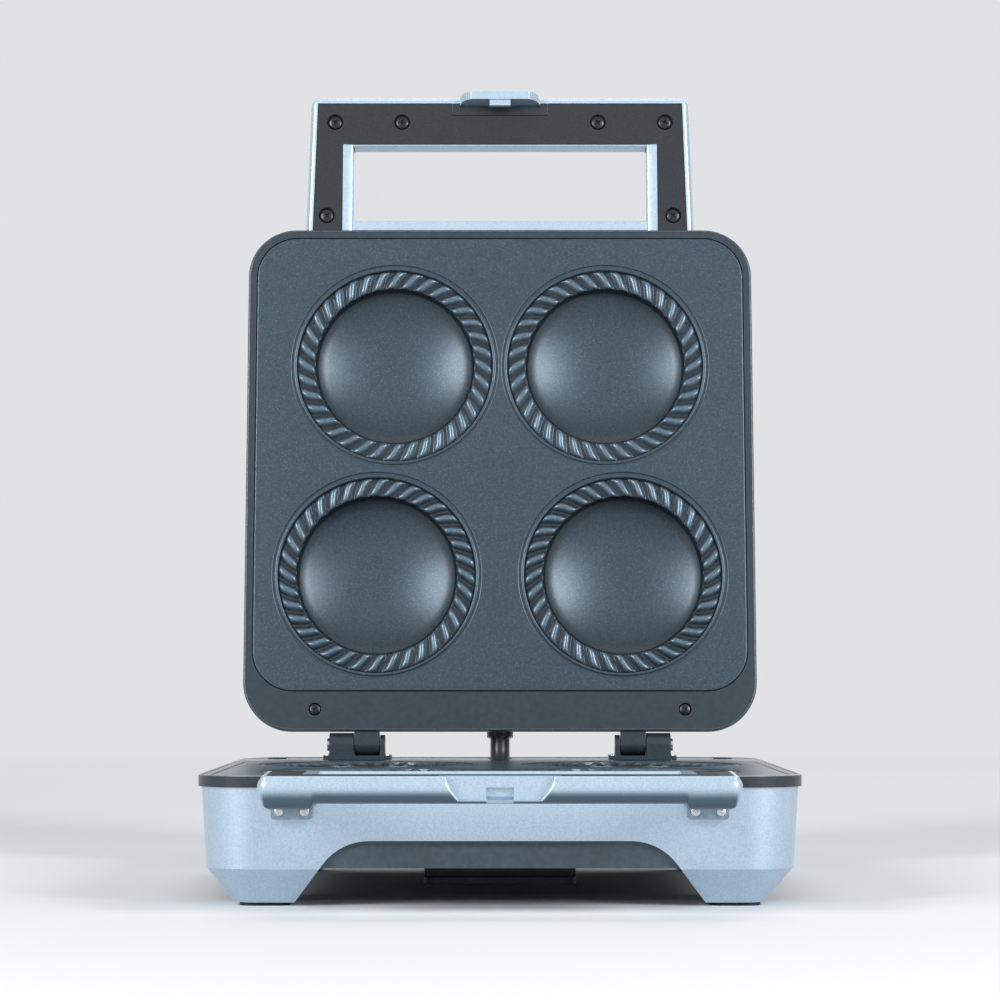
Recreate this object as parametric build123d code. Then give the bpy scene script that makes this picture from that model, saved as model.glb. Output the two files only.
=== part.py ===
from build123d import *

import os
from math import asin, cos, radians, sin, sqrt, tan

# Countertop pie maker with four wells and a hinged lid. Sizes are in millimetres.
# X runs left to right, Y from the front handle to the hinges, and Z up from the table.
# The lid is laid out closed on the base, and is turned open about its hinge at the end.

# ---- Fits ----
fit_gap = 0.3  # between a piece and the recess that it drops into
running_gap = 0.05  # radial, between a pin and the bore that turns on it
thread_gap = 0.02  # radial, between a screw and its hole

# ---- Base shell ----
base_width = 263.0  # across the shell's top edge
base_depth = 298.0
base_corner = 25.0  # corner radius in plan
shell_wall = 2.5
shell_top = 52.2
crease_height = 16.7  # where the shell turns in towards the legs
crease_inset = 2.2  # how far it has drawn in there, on each side
leg_inset = 15.0  # and at the bottom of the legs
leg_width = 26.5  # of a leg's foot, both ways
leg_floor = 2.5
arch_top = 29.0
arch_slope = 0.75  # run of an arch's side for each mm of rise
arch_radius = 25.0
foot_pad = 1.5  # rubber under each leg
foot_stem = 3.0  # radius of the stem that holds the rubber

# ---- Deck and lid outlines ----
deck_top = 57.0
deck_overhang = 1.5  # past the shell, all round
deck_bottom = 47.0
deck_skin = 2.5
lid_side = 0.5  # past the base's shell, on each side
lid_depth = 265.0
lid_corner = 25.0
parting_gap = 1.0  # between the deck and the closed lid
lid_skirt = 6.0  # height of the lid frame's visible band
lid_ledge = 8.0  # height of the lid frame, with the ledge inside the cover
lid_height = 40.0  # above the parting line
cover_draft = 7.0  # degrees that the cover's walls lean in
cover_edge = 9.0  # radius round the cover's top
cover_wall = 2.5

# ---- Baking plates ----
plate_side = 4.0  # from the base's sides to the plate
plate_depth = 240.0
plate_corner = 21.0
plate_front = 4.5  # from the base's front face to the plate
flange = 4.0
ledge_width = 5.0
ledge_corner = 45.0  # radius of the opening inside the ledge
plate_wall = 2.5
front_well_x = 55.0
rear_well_x = 63.7
front_well_y = 73.0
well_pitch = 111.0  # front to rear
well_groove = 54.0  # outer radius of the fine groove round a well
groove_width = 1.2
groove_depth = 0.8
crimp_radius = 51.0  # outer radius of the crimped ring
crimp_depth = 2.0
well_radius = 41.5
well_depth = 28.0
well_floor_radius = 34.0
dome_depth = 14.0
dome_rim = 6.0  # depth at which the dome's steep rim ends

# ---- Heating ----
element_radius = 3.25
element_inset = 12.0  # from the plate's front edge to the element's line
element_side = 14.5  # and from its side edges
element_corner = 35.0
element_gap = 0.1
element_tail = 20.0  # half the distance between the element's two ends
lower_straight = 3.5  # straight end of an element beyond its tight bend
upper_straight = 0.1
tray_inset = 8.0  # from the plate's edge to the reflector tray
tray_corner = 35.0
tray_sheet = 0.8
post_radius = 4.0
lower_tray_gap = 2.2  # between a plate's cups and its tray's floor
upper_tray_gap = 2.5
rim_room = 0.9  # from the element clips to the level of the trays' rims
clip_cap = 1.5  # thickness of a clip over the element
lead_room = 2.6  # between the leads' turn and the upper tray's floor
tray_notch = 0.8  # share of the lower tray's wall left open for leads at the rear
lead_turn = 2.4  # from the upper element's ends to the leads' turn
notch_room = 1.45  # from there to the top of the upper tray's notch

# ---- Hinge ----
hinge_back = 6.5  # from the lid's rear face to the hinge axis
hinge_rise = 7.5  # above the deck
lid_opening = 98.0  # degrees
knuckle_radius = 5.0
knuckle_inner = 61.8
knuckle_width = 13.0
cheek_gap = 0.3
cheek_width = 2.5
ear_width = 12.4
ear_radius = 6.0
hinge_pin = 2.0
bracket_foot = 2.0
bracket_flare = 3.0
stop_gap = 0.1

# ---- Wiring conduit ----
conduit_arc = 18.5  # radius of its bend about the hinge axis
conduit_radius = 5.0
conduit_bore = 3.6
conduit_tail = 34.0  # degrees below level that it still reaches when the lid is closed
collar_radius = 6.8
collar_width = 3.0
conduit_nut = 7.5
slot_gap = 1.2

# ---- Handles ----
handle_reach = 74.0
handle_root_half = 102.5
handle_end_half = 100.25
arm_width = 24.8
bar_width = 27.5
bar_height = 11.5
arm_extra = 2.4  # an arm is this much deeper than the bar
root_gap = 0.2
root_strip = 5.7
root_strip_height = 6.0
handle_top = 59.5  # top of the lower handle
handle_gap = 0.7  # between the two handles when closed
outer_rim = 3.6
inner_rim = 5.5
bar_rim = 1.0  # behind the insert along the bar
insert_depth = 5.0
handle_edge = 3.0
handle_corner = 4.0
bolt_radius = 2.0
bolt_length = 14.0
bolt_spacing = 12.0
bolt_height = 49.3
bolt_head = 3.0

# ---- Latch ----
flap_width = 42.0
flap_foot_width = 30.5
flap_thickness = 4.4
flap_bottom = 49.8
flap_skin = 0.6  # left in front of the spring
flap_shoulder = 59.0  # height at which the flap starts to narrow
pivot_height = 66.8
barrel_radius = 2.8
latch_pin_radius = 1.25
notch_gap = 0.4
tooth_width = 11.0
tooth_depth = 3.2
tooth_bottom = 51.0
tooth_top = 54.3
keeper_depth = 4.8  # from the bar's front to the keeper's face
keeper_thickness = 3.4
keeper_half = 24.0
recess_gap = 1.1
spring_wire = 0.5
spring_half = 4.0

# ---- Bottom cover and what stands on it ----
pan_bottom = 17.0
pan_wall = 2.5
pan_rim = 32.0
cleat_half = 35.0
cleat_y = (104.0, 192.0)
cleat_post = 8.0
cleat_drop = 9.0
cleat_lip = 12.0
cleat_lip_height = 3.0
gland_spot = (70.0, 262.0)
gland_bore = 3.6
gland_radius = 5.8
gland_flange = 8.0
block_size = (34.0, 14.0, 12.0)
block_spot = (-38.0, 268.0)
storage_foot = (26.0, 7.0, 12.0)
storage_foot_x = 85.0
storage_foot_z = 34.0

# ---- Screws ----
screw_radius = 1.5
head_radius = 3.0
head_height = 2.0
insert_head = 3.5
insert_counterbore = 4.3
deck_screw_side = 16.5  # from the base's sides to the deck screws
deck_screw_end = 16.0  # and from its front and back
plate_screw_side = 7.5  # from a plate's sides to its screws
plate_screw_end = 25.0
lid_screw_side = 17.0  # from the lid's sides to its front screws
lid_screw_x = 95.0  # of its rear screws
lid_screw_end = 11.0
boss_radius = 4.5

# ---- Indicator lights ----
light_x = 15.0
light_y = 32.0
lens_radius = 4.0
lens_flange = 1.2
lens_proud = 0.6
board_size = (64.0, 20.0, 1.6)
board_drop = 8.0
lamp_radius = 2.5

# ---- Worked out from the sizes above ----
lid_bottom = deck_top + parting_gap
lid_top = lid_bottom + lid_height
lid_shoulder = lid_bottom + lid_skirt
plate_seat = deck_top - flange
upper_seat = lid_bottom + flange
plate_middle = plate_front + plate_depth / 2
lid_width = base_width + 2 * lid_side
plate_width = base_width - 2 * plate_side
element_bend = 2 * element_radius
lower_tail = element_bend + lower_straight
upper_tail = element_bend + upper_straight
element_end = element_radius + element_gap + upper_tail
tray_rim = element_gap + 2 * element_radius + clip_cap + rim_room
hinge_y = lid_depth + hinge_back
hinge_z = deck_top + hinge_rise
rear_well_y = front_well_y + well_pitch
wells = [(s * front_well_x, front_well_y) for s in (-1, 1)]
wells += [(s * rear_well_x, rear_well_y) for s in (-1, 1)]
bolt_seat = plate_front + ledge_width - 1.5
posts = [(-100.0, plate_middle), (100.0, plate_middle), (0.0, front_well_y - 43), (0.0, rear_well_y + 38)]
insert_screws = [(s * x, y) for s in (-1, 1) for x, y in ((52.0, -60.0), (87.5, -60.0), (91.5, -8.8))]
lower_tray_drop = well_depth + plate_wall - flange + lower_tray_gap
upper_tray_rise = max(dome_depth + plate_wall - flange + upper_tray_gap, element_end + lead_turn + lead_room)
lower_notch = tray_rim + (lower_tray_drop - tray_rim) * tray_notch
upper_notch = element_end + lead_turn + notch_room
mirror_height = handle_top + handle_gap / 2
deck_screw_x = base_width / 2 - deck_screw_side
deck_screw_y = (deck_screw_end, base_depth - deck_screw_end)
leg_x = base_width / 2 - leg_inset - leg_width / 2
leg_y = (leg_inset + leg_width / 2, base_depth - leg_inset - leg_width / 2)

nodes = {}


def block(x0, x1, y0, y1, z0, z1):
    """Box between two corners."""
    return Pos((x0 + x1) / 2, (y0 + y1) / 2, (z0 + z1) / 2) * Box(abs(x1 - x0), abs(y1 - y0), abs(z1 - z0))


def rod(radius, start, end):
    """Round bar between two points."""
    a = Vector(*start)
    b = Vector(*end)
    return extrude(Plane(origin=a, z_dir=(b - a).normalized()) * Circle(radius), (b - a).length)


def slab(width, depth, radius, front, z0, z1):
    """Upright slab with rounded corners in plan, centred on X, its front face at Y = front."""
    face = Pos(0, front + depth / 2, z0) * RectangleRounded(width, depth, radius)
    return extrude(face, z1 - z0)


def drafted(width, depth, radius, sections):
    """Solid between rounded outlines, each drawn in from one rectangle by its inset at its height."""
    faces = [
        Pos(0, depth / 2, z) * RectangleRounded(width - 2 * inset, depth - 2 * inset, radius - inset)
        for z, inset in sections
    ]
    solid = Part()
    for low, high in zip(faces, faces[1:]):
        solid += loft([low, high], ruled=True)
    return solid


def together(pieces):
    """Several separate solids as one node."""
    solids = [s for p in pieces for s in p.solids()]
    return Compound(children=solids)


def both_sides(make):
    """Left and right copies of what make(side) gives."""
    return [make(-1), make(1)]


def screw(x, y, z, length, up=True, radius=screw_radius, head=head_radius):
    """Pan-head screw whose head seats at z and whose shank runs up or down from there."""
    way = 1 if up else -1
    shank = rod(radius, (x, y, z), (x, y, z + way * length))
    top = rod(head, (x, y, z), (x, y, z - way * head_height))
    return shank + top


def screw_hole(x, y, z, length, up=True, radius=screw_radius):
    """Hole for a screw's shank, a little longer than it."""
    way = 1 if up else -1
    return rod(radius + thread_gap, (x, y, z), (x, y, z + way * (length + 0.5)))


def base_inset(z):
    """How far the base shell's outside is drawn in at height z."""
    if z > crease_height:
        return crease_inset * (shell_top - z) / (shell_top - crease_height)
    share = (crease_height - z) / (crease_height - foot_pad)
    return crease_inset + (leg_inset - crease_inset) * share


def cover_inset(z):
    """How far the lid cover's outside is drawn in at height z."""
    return (z - lid_shoulder) * tan(radians(cover_draft))


# ---------------------------------------------------------------- base


def arch(foot_half, length):
    """Prism of an arch's opening, running along Y through the origin, open at the bottom."""
    low = foot_pad - 1
    half_low = foot_half + arch_slope
    half_top = half_low - arch_slope * (arch_top - low)
    corners = [(-half_low, low), (-half_top, arch_top), (half_top, arch_top), (half_low, low)]
    face = make_face(Polyline(*corners, close=True))
    face = fillet(face.vertices().sort_by(Axis.Y)[-2:], arch_radius)
    return extrude(Plane.XZ * face, length / 2, both=True)


def corner_boss(side, y, z0, z1):
    """Screw boss in a corner of the shell, with the web that joins it to the corner."""
    x = side * deck_screw_x
    front = y < base_depth / 2
    inset = base_inset(z0) + shell_wall - 0.6
    corner = base_corner - inset
    cx = side * (base_width / 2 - inset - corner)
    cy = inset + corner if front else base_depth - inset - corner
    away = (Vector(x, y) - Vector(cx, cy)).normalized() * corner
    web = rod(2.0, (x, y, (z0 + z1) / 2), (cx + away.X, cy + away.Y, (z0 + z1) / 2))
    return rod(boss_radius, (x, y, z0), (x, y, z1)) + web


def make_base_shell():
    outer = drafted(
        base_width, base_depth, base_corner,
        [(foot_pad, leg_inset), (crease_height, crease_inset), (shell_top, 0)],
    )
    floor = foot_pad + leg_floor
    above = shell_top + 1
    inner = drafted(
        base_width, base_depth, base_corner,
        [(z, base_inset(z) + shell_wall) for z in (floor, crease_height, above)],
    )
    middle = Pos(0, base_depth / 2, 0)
    foot_half = base_width / 2 - leg_inset - leg_width
    side_half = base_depth / 2 - leg_inset - leg_width
    cut_front = middle * arch(foot_half, base_depth + 40)
    cut_side = middle * (Rot(0, 0, 90) * arch(side_half, base_width + 40))
    shell = outer - inner - cut_front - cut_side
    for side in (-1, 1):
        for y in leg_y:
            shell += rod(boss_radius, (side * leg_x, y, floor - 0.5), (side * leg_x, y, pan_bottom))
            shell -= rod(foot_stem + running_gap, (side * leg_x, y, 0), (side * leg_x, y, foot_pad + 6))
            shell -= screw_hole(side * leg_x, y, pan_bottom + 0.1, 8, up=False)
        for y in deck_screw_y:
            shell += corner_boss(side, y, pan_rim + 1, deck_bottom)
            shell -= screw_hole(side * deck_screw_x, y, deck_bottom + 0.1, 10, up=False)
        for x in bolt_places(side):
            shell -= rod(bolt_radius + thread_gap, (x, -5, bolt_height), (x, 20, bolt_height))
            shell -= storage_peg(side, thread_gap)
        for spot in bracket_screw_spots(side):
            shell -= bracket_pin(spot, thread_gap)
    return shell


def make_feet():
    """Rubber pads under the legs, each on a stem pressed into its leg."""
    pads = []
    for side in (-1, 1):
        for y in leg_y:
            pad = Pos(side * leg_x, y, 0) * RectangleRounded(leg_width - 4, leg_width - 4, 6)
            stem = rod(foot_stem, (side * leg_x, y, foot_pad), (side * leg_x, y, foot_pad + 5))
            pads.append(extrude(pad, foot_pad) + stem)
    return together(pads)


def make_bottom_cover():
    """Tray that closes the base from below, standing on the legs' bosses."""
    inset = base_inset(pan_bottom) + shell_wall + fit_gap
    width = base_width - 2 * inset
    depth = base_depth - 2 * inset
    corner = base_corner - inset
    pan = slab(width, depth, corner, inset, pan_bottom, pan_rim)
    pan -= slab(
        width - 2 * pan_wall, depth - 2 * pan_wall, corner - pan_wall,
        inset + pan_wall, pan_bottom + pan_wall, pan_rim + 1,
    )
    for side in (-1, 1):
        for y in leg_y:
            pan -= screw_hole(side * leg_x, y, pan_bottom - 1, 6)
        pan -= storage_peg(side, thread_gap)
    for y in cleat_y:
        for side in (-1, 1):
            pan -= screw_hole(side * cleat_half / 2, y, pan_bottom - 1, 6)
    pan -= rod(gland_radius + thread_gap, (*gland_spot, 0), (*gland_spot, pan_rim))
    return pan


def make_cleats():
    """Two hooks that the cord is wound on, lips facing away from each other."""
    hooks = []
    for y, away in zip(cleat_y, (-1, 1)):
        bottom = pan_bottom - cleat_drop
        post = block(-cleat_half, cleat_half, y - cleat_post / 2, y + cleat_post / 2, bottom, pan_bottom)
        edge = y + away * (cleat_post / 2 + cleat_lip)
        inner = y - away * cleat_post / 2
        lip = block(-cleat_half, cleat_half, inner, edge, bottom - cleat_lip_height, bottom)
        lip = fillet([e for e in lip.edges().filter_by(Axis.Z) if abs(e.center().Y - edge) < 0.1], 4)
        hook = post + lip
        for side in (-1, 1):
            hook -= screw_hole(side * cleat_half / 2, y, pan_bottom + 0.1, 6, up=False)
        hooks.append(hook)
    return together(hooks)


def make_cleat_screws():
    z = pan_bottom + pan_wall
    return together([screw(s * cleat_half / 2, y, z, 7, up=False) for s in (-1, 1) for y in cleat_y])


def make_pan_screws():
    z = pan_bottom + pan_wall
    return together([screw(s * leg_x, y, z, 9, up=False) for s in (-1, 1) for y in leg_y])


def make_deck_frame():
    width = base_width + 2 * deck_overhang
    depth = base_depth + 2 * deck_overhang
    rim = slab(width, depth, base_corner + deck_overhang, -deck_overhang, shell_top, deck_top)
    inset = base_inset(deck_bottom) + shell_wall + fit_gap
    skirt = slab(
        base_width - 2 * inset, base_depth - 2 * inset, base_corner - inset, inset, deck_bottom, shell_top,
    )
    deck = rim + skirt
    deck -= plate_recess(deck_top - flange, deck_top + 1)
    deck -= ledge_opening(deck_bottom - 1, deck_top)
    hollow_front = plate_front + plate_depth + ledge_width
    hollow_rear = base_depth - inset - shell_wall
    half = deck_screw_x - 10
    deck -= block(-half, half, hollow_front, hollow_rear, deck_bottom - 1, deck_top - deck_skin)
    for side in (-1, 1):
        front = (side * deck_screw_x, deck_screw_y[0])
        for y in deck_screw_y:
            deck -= screw_hole(side * deck_screw_x, y, deck_bottom - 1, 12)
        deck -= rod(head_radius + fit_gap, (*front, plate_seat - head_height - 0.2), (*front, deck_top + 1))
        for x in bolt_places(side):
            deck -= rod(bolt_radius + thread_gap, (x, -5, bolt_height), (x, 20, bolt_height))
            deck -= rod(bolt_head + fit_gap, (x, bolt_seat, bolt_height), (x, bolt_seat + 12, bolt_height))
        for spot in hinge_screw_spots(side):
            deck -= screw_hole(*spot, deck_bottom, 12)
    for x, y in plate_screw_spots():
        deck -= screw_hole(x, y, deck_bottom - 1, 10)
    deck -= conduit_slot()
    return deck


def plate_recess(z0, z1):
    """Space for a baking plate's flange, with the gap round it."""
    return slab(
        plate_width + 2 * fit_gap, plate_depth + 2 * fit_gap, plate_corner + fit_gap,
        plate_front - fit_gap, z0, z1,
    )


def ledge_opening(z0, z1):
    """Space inside the ledge that a baking plate rests on."""
    return slab(
        plate_width - 2 * ledge_width, plate_depth - 2 * ledge_width, ledge_corner,
        plate_front + ledge_width, z0, z1,
    )


def plate_screw_spots():
    """The four places where a plate is screwed to its ledge."""
    x = plate_width / 2 - plate_screw_side
    near = plate_front + plate_screw_end
    far = plate_front + plate_depth - plate_screw_end
    return [(s * x, y) for s in (-1, 1) for y in (near, far)]


def make_deck_screws():
    low = plate_seat - head_height
    screws = []
    for side in (-1, 1):
        for y, seat in zip(deck_screw_y, (low, deck_top)):
            screws.append(screw(side * deck_screw_x, y, seat, seat - deck_bottom + 9, up=False))
    return together(screws)


# ---------------------------------------------------------------- baking plates and heating


def tapered_well(rim, floor, top, bottom, rounding):
    """Round well from top down to bottom, its floor's edge rounded."""
    face = make_face(Polyline((0, top), (rim, top), (floor, bottom), (0, bottom), close=True))
    corner = [v for v in face.vertices() if abs(v.X - floor) < 1e-6 and abs(v.Y - bottom) < 1e-6]
    face = fillet(corner, rounding)
    return revolve(Plane.XZ * face, Axis.Z)


def domed_well(rim, top, rim_bottom, bottom):
    """Round recess going down from top: a steep rim, then a spherical floor whose lowest point is bottom."""
    edge = rim - 1
    rise = rim_bottom - bottom
    ball = (edge**2 + rise**2) / (2 * rise)
    half = asin(edge / ball) / 2
    floor = ThreePointArc(
        (edge, rim_bottom), (ball * sin(half), bottom + ball * (1 - cos(half))), (0, bottom),
    )
    sides = Polyline((0, bottom), (0, top), (rim, top), (edge, rim_bottom))
    return revolve(Plane.XZ * make_face(sides + floor), Axis.Z)


def plate_blank():
    """Flange of a baking plate, face up at Z = 0."""
    return slab(plate_width, plate_depth, plate_corner, plate_front, -flange, 0)


def plate_rings(plate):
    """Cuts the crimped ring's channel and the fine groove round each well."""
    for x, y in wells:
        place = Pos(x, y, 0)
        plate -= place * (Pos(0, 0, -crimp_depth / 2) * Cylinder(crimp_radius, crimp_depth))
        ring = Cylinder(well_groove, groove_depth) - Cylinder(well_groove - groove_width, groove_depth)
        plate -= place * (Pos(0, 0, -groove_depth / 2) * ring)
    return plate


def with_posts(plate, rise):
    """Adds the posts on the plate's back that carry its reflector tray."""
    for x, y in posts:
        plate += rod(post_radius, (x, y, -flange + 0.2), (x, y, -flange - rise))
        plate -= rod(screw_radius + thread_gap, (x, y, -flange - rise), (x, y, -flange - rise + 6.5))
    for x, y in plate_screw_spots():
        plate -= rod(screw_radius + thread_gap, (x, y, -flange), (x, y, -flange + 3))
    return plate


def make_lower_plate():
    plate = plate_blank()
    for x, y in wells:
        cup = tapered_well(
            well_radius + plate_wall, well_floor_radius + plate_wall,
            -flange + 0.5, -well_depth - plate_wall, 8,
        )
        plate += Pos(x, y, 0) * cup
    plate = plate_rings(plate)
    for x, y in wells:
        plate -= Pos(x, y, 0) * tapered_well(well_radius, well_floor_radius, -crimp_depth, -well_depth, 6)
    return Pos(0, 0, deck_top) * with_posts(plate, lower_tray_drop)


def make_upper_plate():
    plate = plate_blank()
    for x, y in wells:
        cup = domed_well(
            well_radius + plate_wall, -flange + 0.5, -dome_rim - plate_wall, -dome_depth - plate_wall,
        )
        plate += Pos(x, y, 0) * cup
    plate = plate_rings(plate)
    for x, y in wells:
        plate -= Pos(x, y, 0) * domed_well(well_radius, -crimp_depth, -dome_rim, -dome_depth)
    plate = with_posts(plate, upper_tray_rise)
    return Pos(0, 0, lid_bottom) * mirror(plate, about=Plane.XY)


def element_line(z, way, drop):
    """Line of a sheathed element: a loop round all wells whose two ends turn away from the plate."""
    half = plate_width / 2 - element_side
    front = plate_front + element_inset
    rear = plate_front + plate_depth - element_inset
    end = z + way * drop
    route = [
        (-element_tail, rear, end), (-element_tail, rear, z), (-half, rear, z), (-half, front, z),
        (half, front, z), (half, rear, z), (element_tail, rear, z), (element_tail, rear, end),
    ]
    bends = [element_bend] + [element_corner] * 4 + [element_bend]
    return FilletPolyline(*route, radius=bends)


def make_element(seat, way, drop):
    """Sheathed heating element against the back of a plate."""
    line = element_line(seat + way * (element_radius + element_gap), way, drop)
    return sweep(Plane(origin=line @ 0, z_dir=line % 0) * Circle(element_radius), path=line)


def make_element_clips(seat, way):
    """Saddles that hold the element to the plate, one on each side of the loop and two in front."""
    half = plate_width / 2 - element_side
    front = plate_front + element_inset
    centre = seat + way * (element_radius + element_gap)
    far = centre + way * (element_radius + clip_cap)
    reach = element_radius + 3
    clips = []
    for side in (-1, 1):
        x = side * half
        y = plate_middle + 24
        saddle = block(x - reach, x + reach, y - 5, y + 5, seat, far)
        sheath = rod(element_radius + running_gap, (x, y - 9, centre), (x, y + 9, centre))
        clips.append(saddle - sheath)
        x = side * 42
        saddle = block(x - 5, x + 5, front - reach, front + reach, seat, far)
        sheath = rod(element_radius + running_gap, (x - 9, front, centre), (x + 9, front, centre))
        clips.append(saddle - sheath)
    return together(clips)


def make_tray(seat, way, rise, notch):
    """Sheet reflector behind an element, open towards the plate, with a notch for leads at the rear."""
    floor = seat + way * rise
    rim = seat + way * tray_rim
    back = floor + way * tray_sheet
    low, high = sorted((rim, back))
    width = plate_width - 2 * tray_inset
    depth = plate_depth - 2 * tray_inset
    front = plate_front + tray_inset
    tray = slab(width, depth, tray_corner, front, low, high)
    low, high = sorted((rim - way, floor))
    t = tray_sheet
    tray -= slab(width - 2 * t, depth - 2 * t, tray_corner - t, front + t, low, high)
    low, high = sorted((rim - way, seat + way * notch))
    tray -= block(-30, 30, front + depth - 3, front + depth + 3, low, high)
    for x, y in posts:
        tray -= rod(screw_radius + fit_gap, (x, y, floor - way), (x, y, back + way))
    return tray


def make_tray_screws(seat, way, rise):
    back = seat + way * (rise + tray_sheet)
    return together([screw(x, y, back, 6, up=way < 0) for x, y in posts])


def make_plate_screws(seat, head_seat):
    """Screws through a ledge into a plate's flange."""
    up = seat > head_seat
    length = abs(seat - head_seat) + 2.5
    return together([screw(x, y, head_seat, length, up=up) for x, y in plate_screw_spots()])


def make_thermostat():
    """Round snap-action thermostat against the plate, with its mounting ears and two terminals."""
    z = plate_seat
    can = rod(11, (0, plate_middle, z), (0, plate_middle, z - 8))
    ears = block(-17, 17, plate_middle - 4, plate_middle + 4, z - 1.2, z)
    y = plate_middle
    tabs = [block(s * 6 - 2.5, s * 6 + 2.5, y - 0.4, y + 0.4, z - 15, z - 8) for s in (-1, 1)]
    return can + ears + tabs


def make_thermal_fuse():
    """Axial thermal fuse in its clip, against the plate between the front wells."""
    y = plate_middle - 26
    z = plate_seat - 2.6
    body = rod(2.2, (-7, y, z), (7, y, z))
    leads = rod(0.6, (-12, y, z), (12, y, z))
    clip = block(-2.5, 2.5, y - 5, y + 5, plate_seat - 5.4, plate_seat)
    return body + leads + clip


def make_terminal_block():
    x, y = block_spot
    w, d, h = block_size
    z = pan_bottom + pan_wall
    body = block(x - w / 2, x + w / 2, y - d / 2, y + d / 2, z, z + h)
    for i in (-1, 0, 1):
        body -= rod(2.2, (x + i * 10, y, z + h), (x + i * 10, y, z + h - 5))
    return body


def make_gland():
    """Bushing that the mains cord comes in through, clamped to the bottom cover by its nut."""
    x, y = gland_spot
    inside = pan_bottom + pan_wall
    body = rod(gland_radius, (x, y, pan_bottom - 2), (x, y, inside + 6))
    body += rod(gland_flange, (x, y, pan_bottom - 2), (x, y, pan_bottom))
    body += rod(gland_flange, (x, y, inside), (x, y, inside + 4))
    return body - rod(gland_bore, (x, y, pan_bottom - 3), (x, y, inside + 7))


def lead(route, radius=1.2, bend=5.0):
    """Insulated lead along straight runs joined by arcs."""
    line = FilletPolyline(*route, radius=bend)
    return sweep(Plane(origin=line @ 0, z_dir=line % 0) * Circle(radius), path=line)


def make_base_leads():
    """Leads from the gland to the terminal block, and on to the element, thermostat and fuse."""
    bx, by = block_spot
    gx, gy = gland_spot
    floor = pan_bottom + pan_wall
    bore = floor + block_size[2] - 4.5
    rear = plate_front + plate_depth - element_inset
    end = plate_seat - element_radius - element_gap - lower_tail
    run = end - 5
    fuse_y = plate_middle - 26
    fuse_z = plate_seat - 2.6
    routes = []
    for i, x in ((-1, bx + 10), (1, bx)):
        z = floor + 18 + 2 * i
        routes.append([(gx + 1.8 * i, gy, floor + 6.1), (gx + 1.8 * i, gy, z), (x, by, z), (x, by, bore)])
    routes.append([
        (-element_tail, rear, end - 0.1), (-element_tail, rear, run), (bx - 10, by - 12, run),
        (bx - 10, by, run), (bx - 10, by, bore),
    ])
    routes.append([
        (element_tail, rear, end - 0.1), (element_tail, rear, run), (6, plate_middle, run),
        (6, plate_middle, plate_seat - 15.1),
    ])
    routes.append([
        (-6, plate_middle, plate_seat - 15.1), (-6, plate_middle, run), (-15, fuse_y, run),
        (-15, fuse_y, fuse_z), (-12.1, fuse_y, fuse_z),
    ])
    return together([lead(route, bend=2.3) for route in routes])


# ---------------------------------------------------------------- hinge and conduit


def hinge_screw_spots(side):
    """The two screws of a hinge bracket, behind its ear."""
    return [(side * (knuckle_inner + 7), hinge_y + 12), (side * (knuckle_inner + 21), hinge_y + 12)]


def make_bracket(side):
    """Hinge bracket on the deck: a wide ear outside the knuckle, a thin cheek inside it and a flared foot."""
    inner = knuckle_inner - cheek_gap - cheek_width
    knuckle_end = knuckle_inner + knuckle_width
    outer = knuckle_end + cheek_gap + ear_width
    foot = block(
        side * (inner - bracket_flare), side * (outer + bracket_flare),
        lid_depth + fit_gap, hinge_y + 17, deck_top, deck_top + bracket_foot,
    )
    bracket = foot
    for x0, x1, r in ((inner, inner + cheek_width, knuckle_radius), (outer - ear_width, outer, ear_radius)):
        bracket += rod(r, (side * x0, hinge_y, hinge_z), (side * x1, hinge_y, hinge_z))
        bracket += block(side * x0, side * x1, hinge_y - r, hinge_y + r, deck_top, hinge_z)
    ends = [(side * x, hinge_y, hinge_z) for x in (inner - 5, outer + 5)]
    bracket -= rod(hinge_pin + thread_gap, *ends)
    for x, y in hinge_screw_spots(side):
        bracket -= screw_hole(x, y, deck_bottom, 14)
    return bracket


def make_hinge_pin(side):
    inner = knuckle_inner - cheek_gap - cheek_width
    outer = knuckle_inner + knuckle_width + cheek_gap + ear_width
    pin = rod(hinge_pin, (side * inner, hinge_y, hinge_z), (side * (outer + 0.6), hinge_y, hinge_z))
    head = [(side * x, hinge_y, hinge_z) for x in (outer, outer + 1.2)]
    return pin + rod(hinge_pin + 1.2, *head)


def make_hinge_screws():
    top = deck_top + bracket_foot
    return together([screw(x, y, top, 7, up=False) for s in (-1, 1) for x, y in hinge_screw_spots(s)])


def knuckle(side):
    """Lid knuckle: barrel, arm into the lid frame, and the heel that stops on the bracket's foot."""
    x0 = side * knuckle_inner
    x1 = side * (knuckle_inner + knuckle_width)
    barrel = rod(knuckle_radius, (x0, hinge_y, hinge_z), (x1, hinge_y, hinge_z))
    arm = block(x0, x1, lid_depth - 1, hinge_y, hinge_z - knuckle_radius, lid_shoulder)
    heel_depth = hinge_rise - bracket_foot - stop_gap
    heel = block(x0, x1, 0, knuckle_radius, -heel_depth, 0)
    heel = Pos(0, hinge_y, hinge_z) * (Rot(lid_opening, 0, 0) * heel)
    return barrel + arm + heel


def conduit_slot():
    """Slot in the deck for the conduit to slide through, as wide as its bend's reach."""
    half = conduit_radius + slot_gap
    rise = hinge_z - deck_top
    outer = sqrt((conduit_arc + conduit_radius) ** 2 - rise**2) + slot_gap
    inner = sqrt((conduit_arc - conduit_radius) ** 2 - (rise + deck_skin) ** 2) - slot_gap
    slot = Pos(0, hinge_y + (inner + outer) / 2, deck_top) * Box(2 * half, outer - inner, 4 * deck_skin)
    return fillet(slot.edges().filter_by(Axis.Z), 3)


def conduit_start():
    """Y at which the conduit leaves the closed lid."""
    return lid_depth - cover_inset(hinge_z + conduit_arc)


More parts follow.
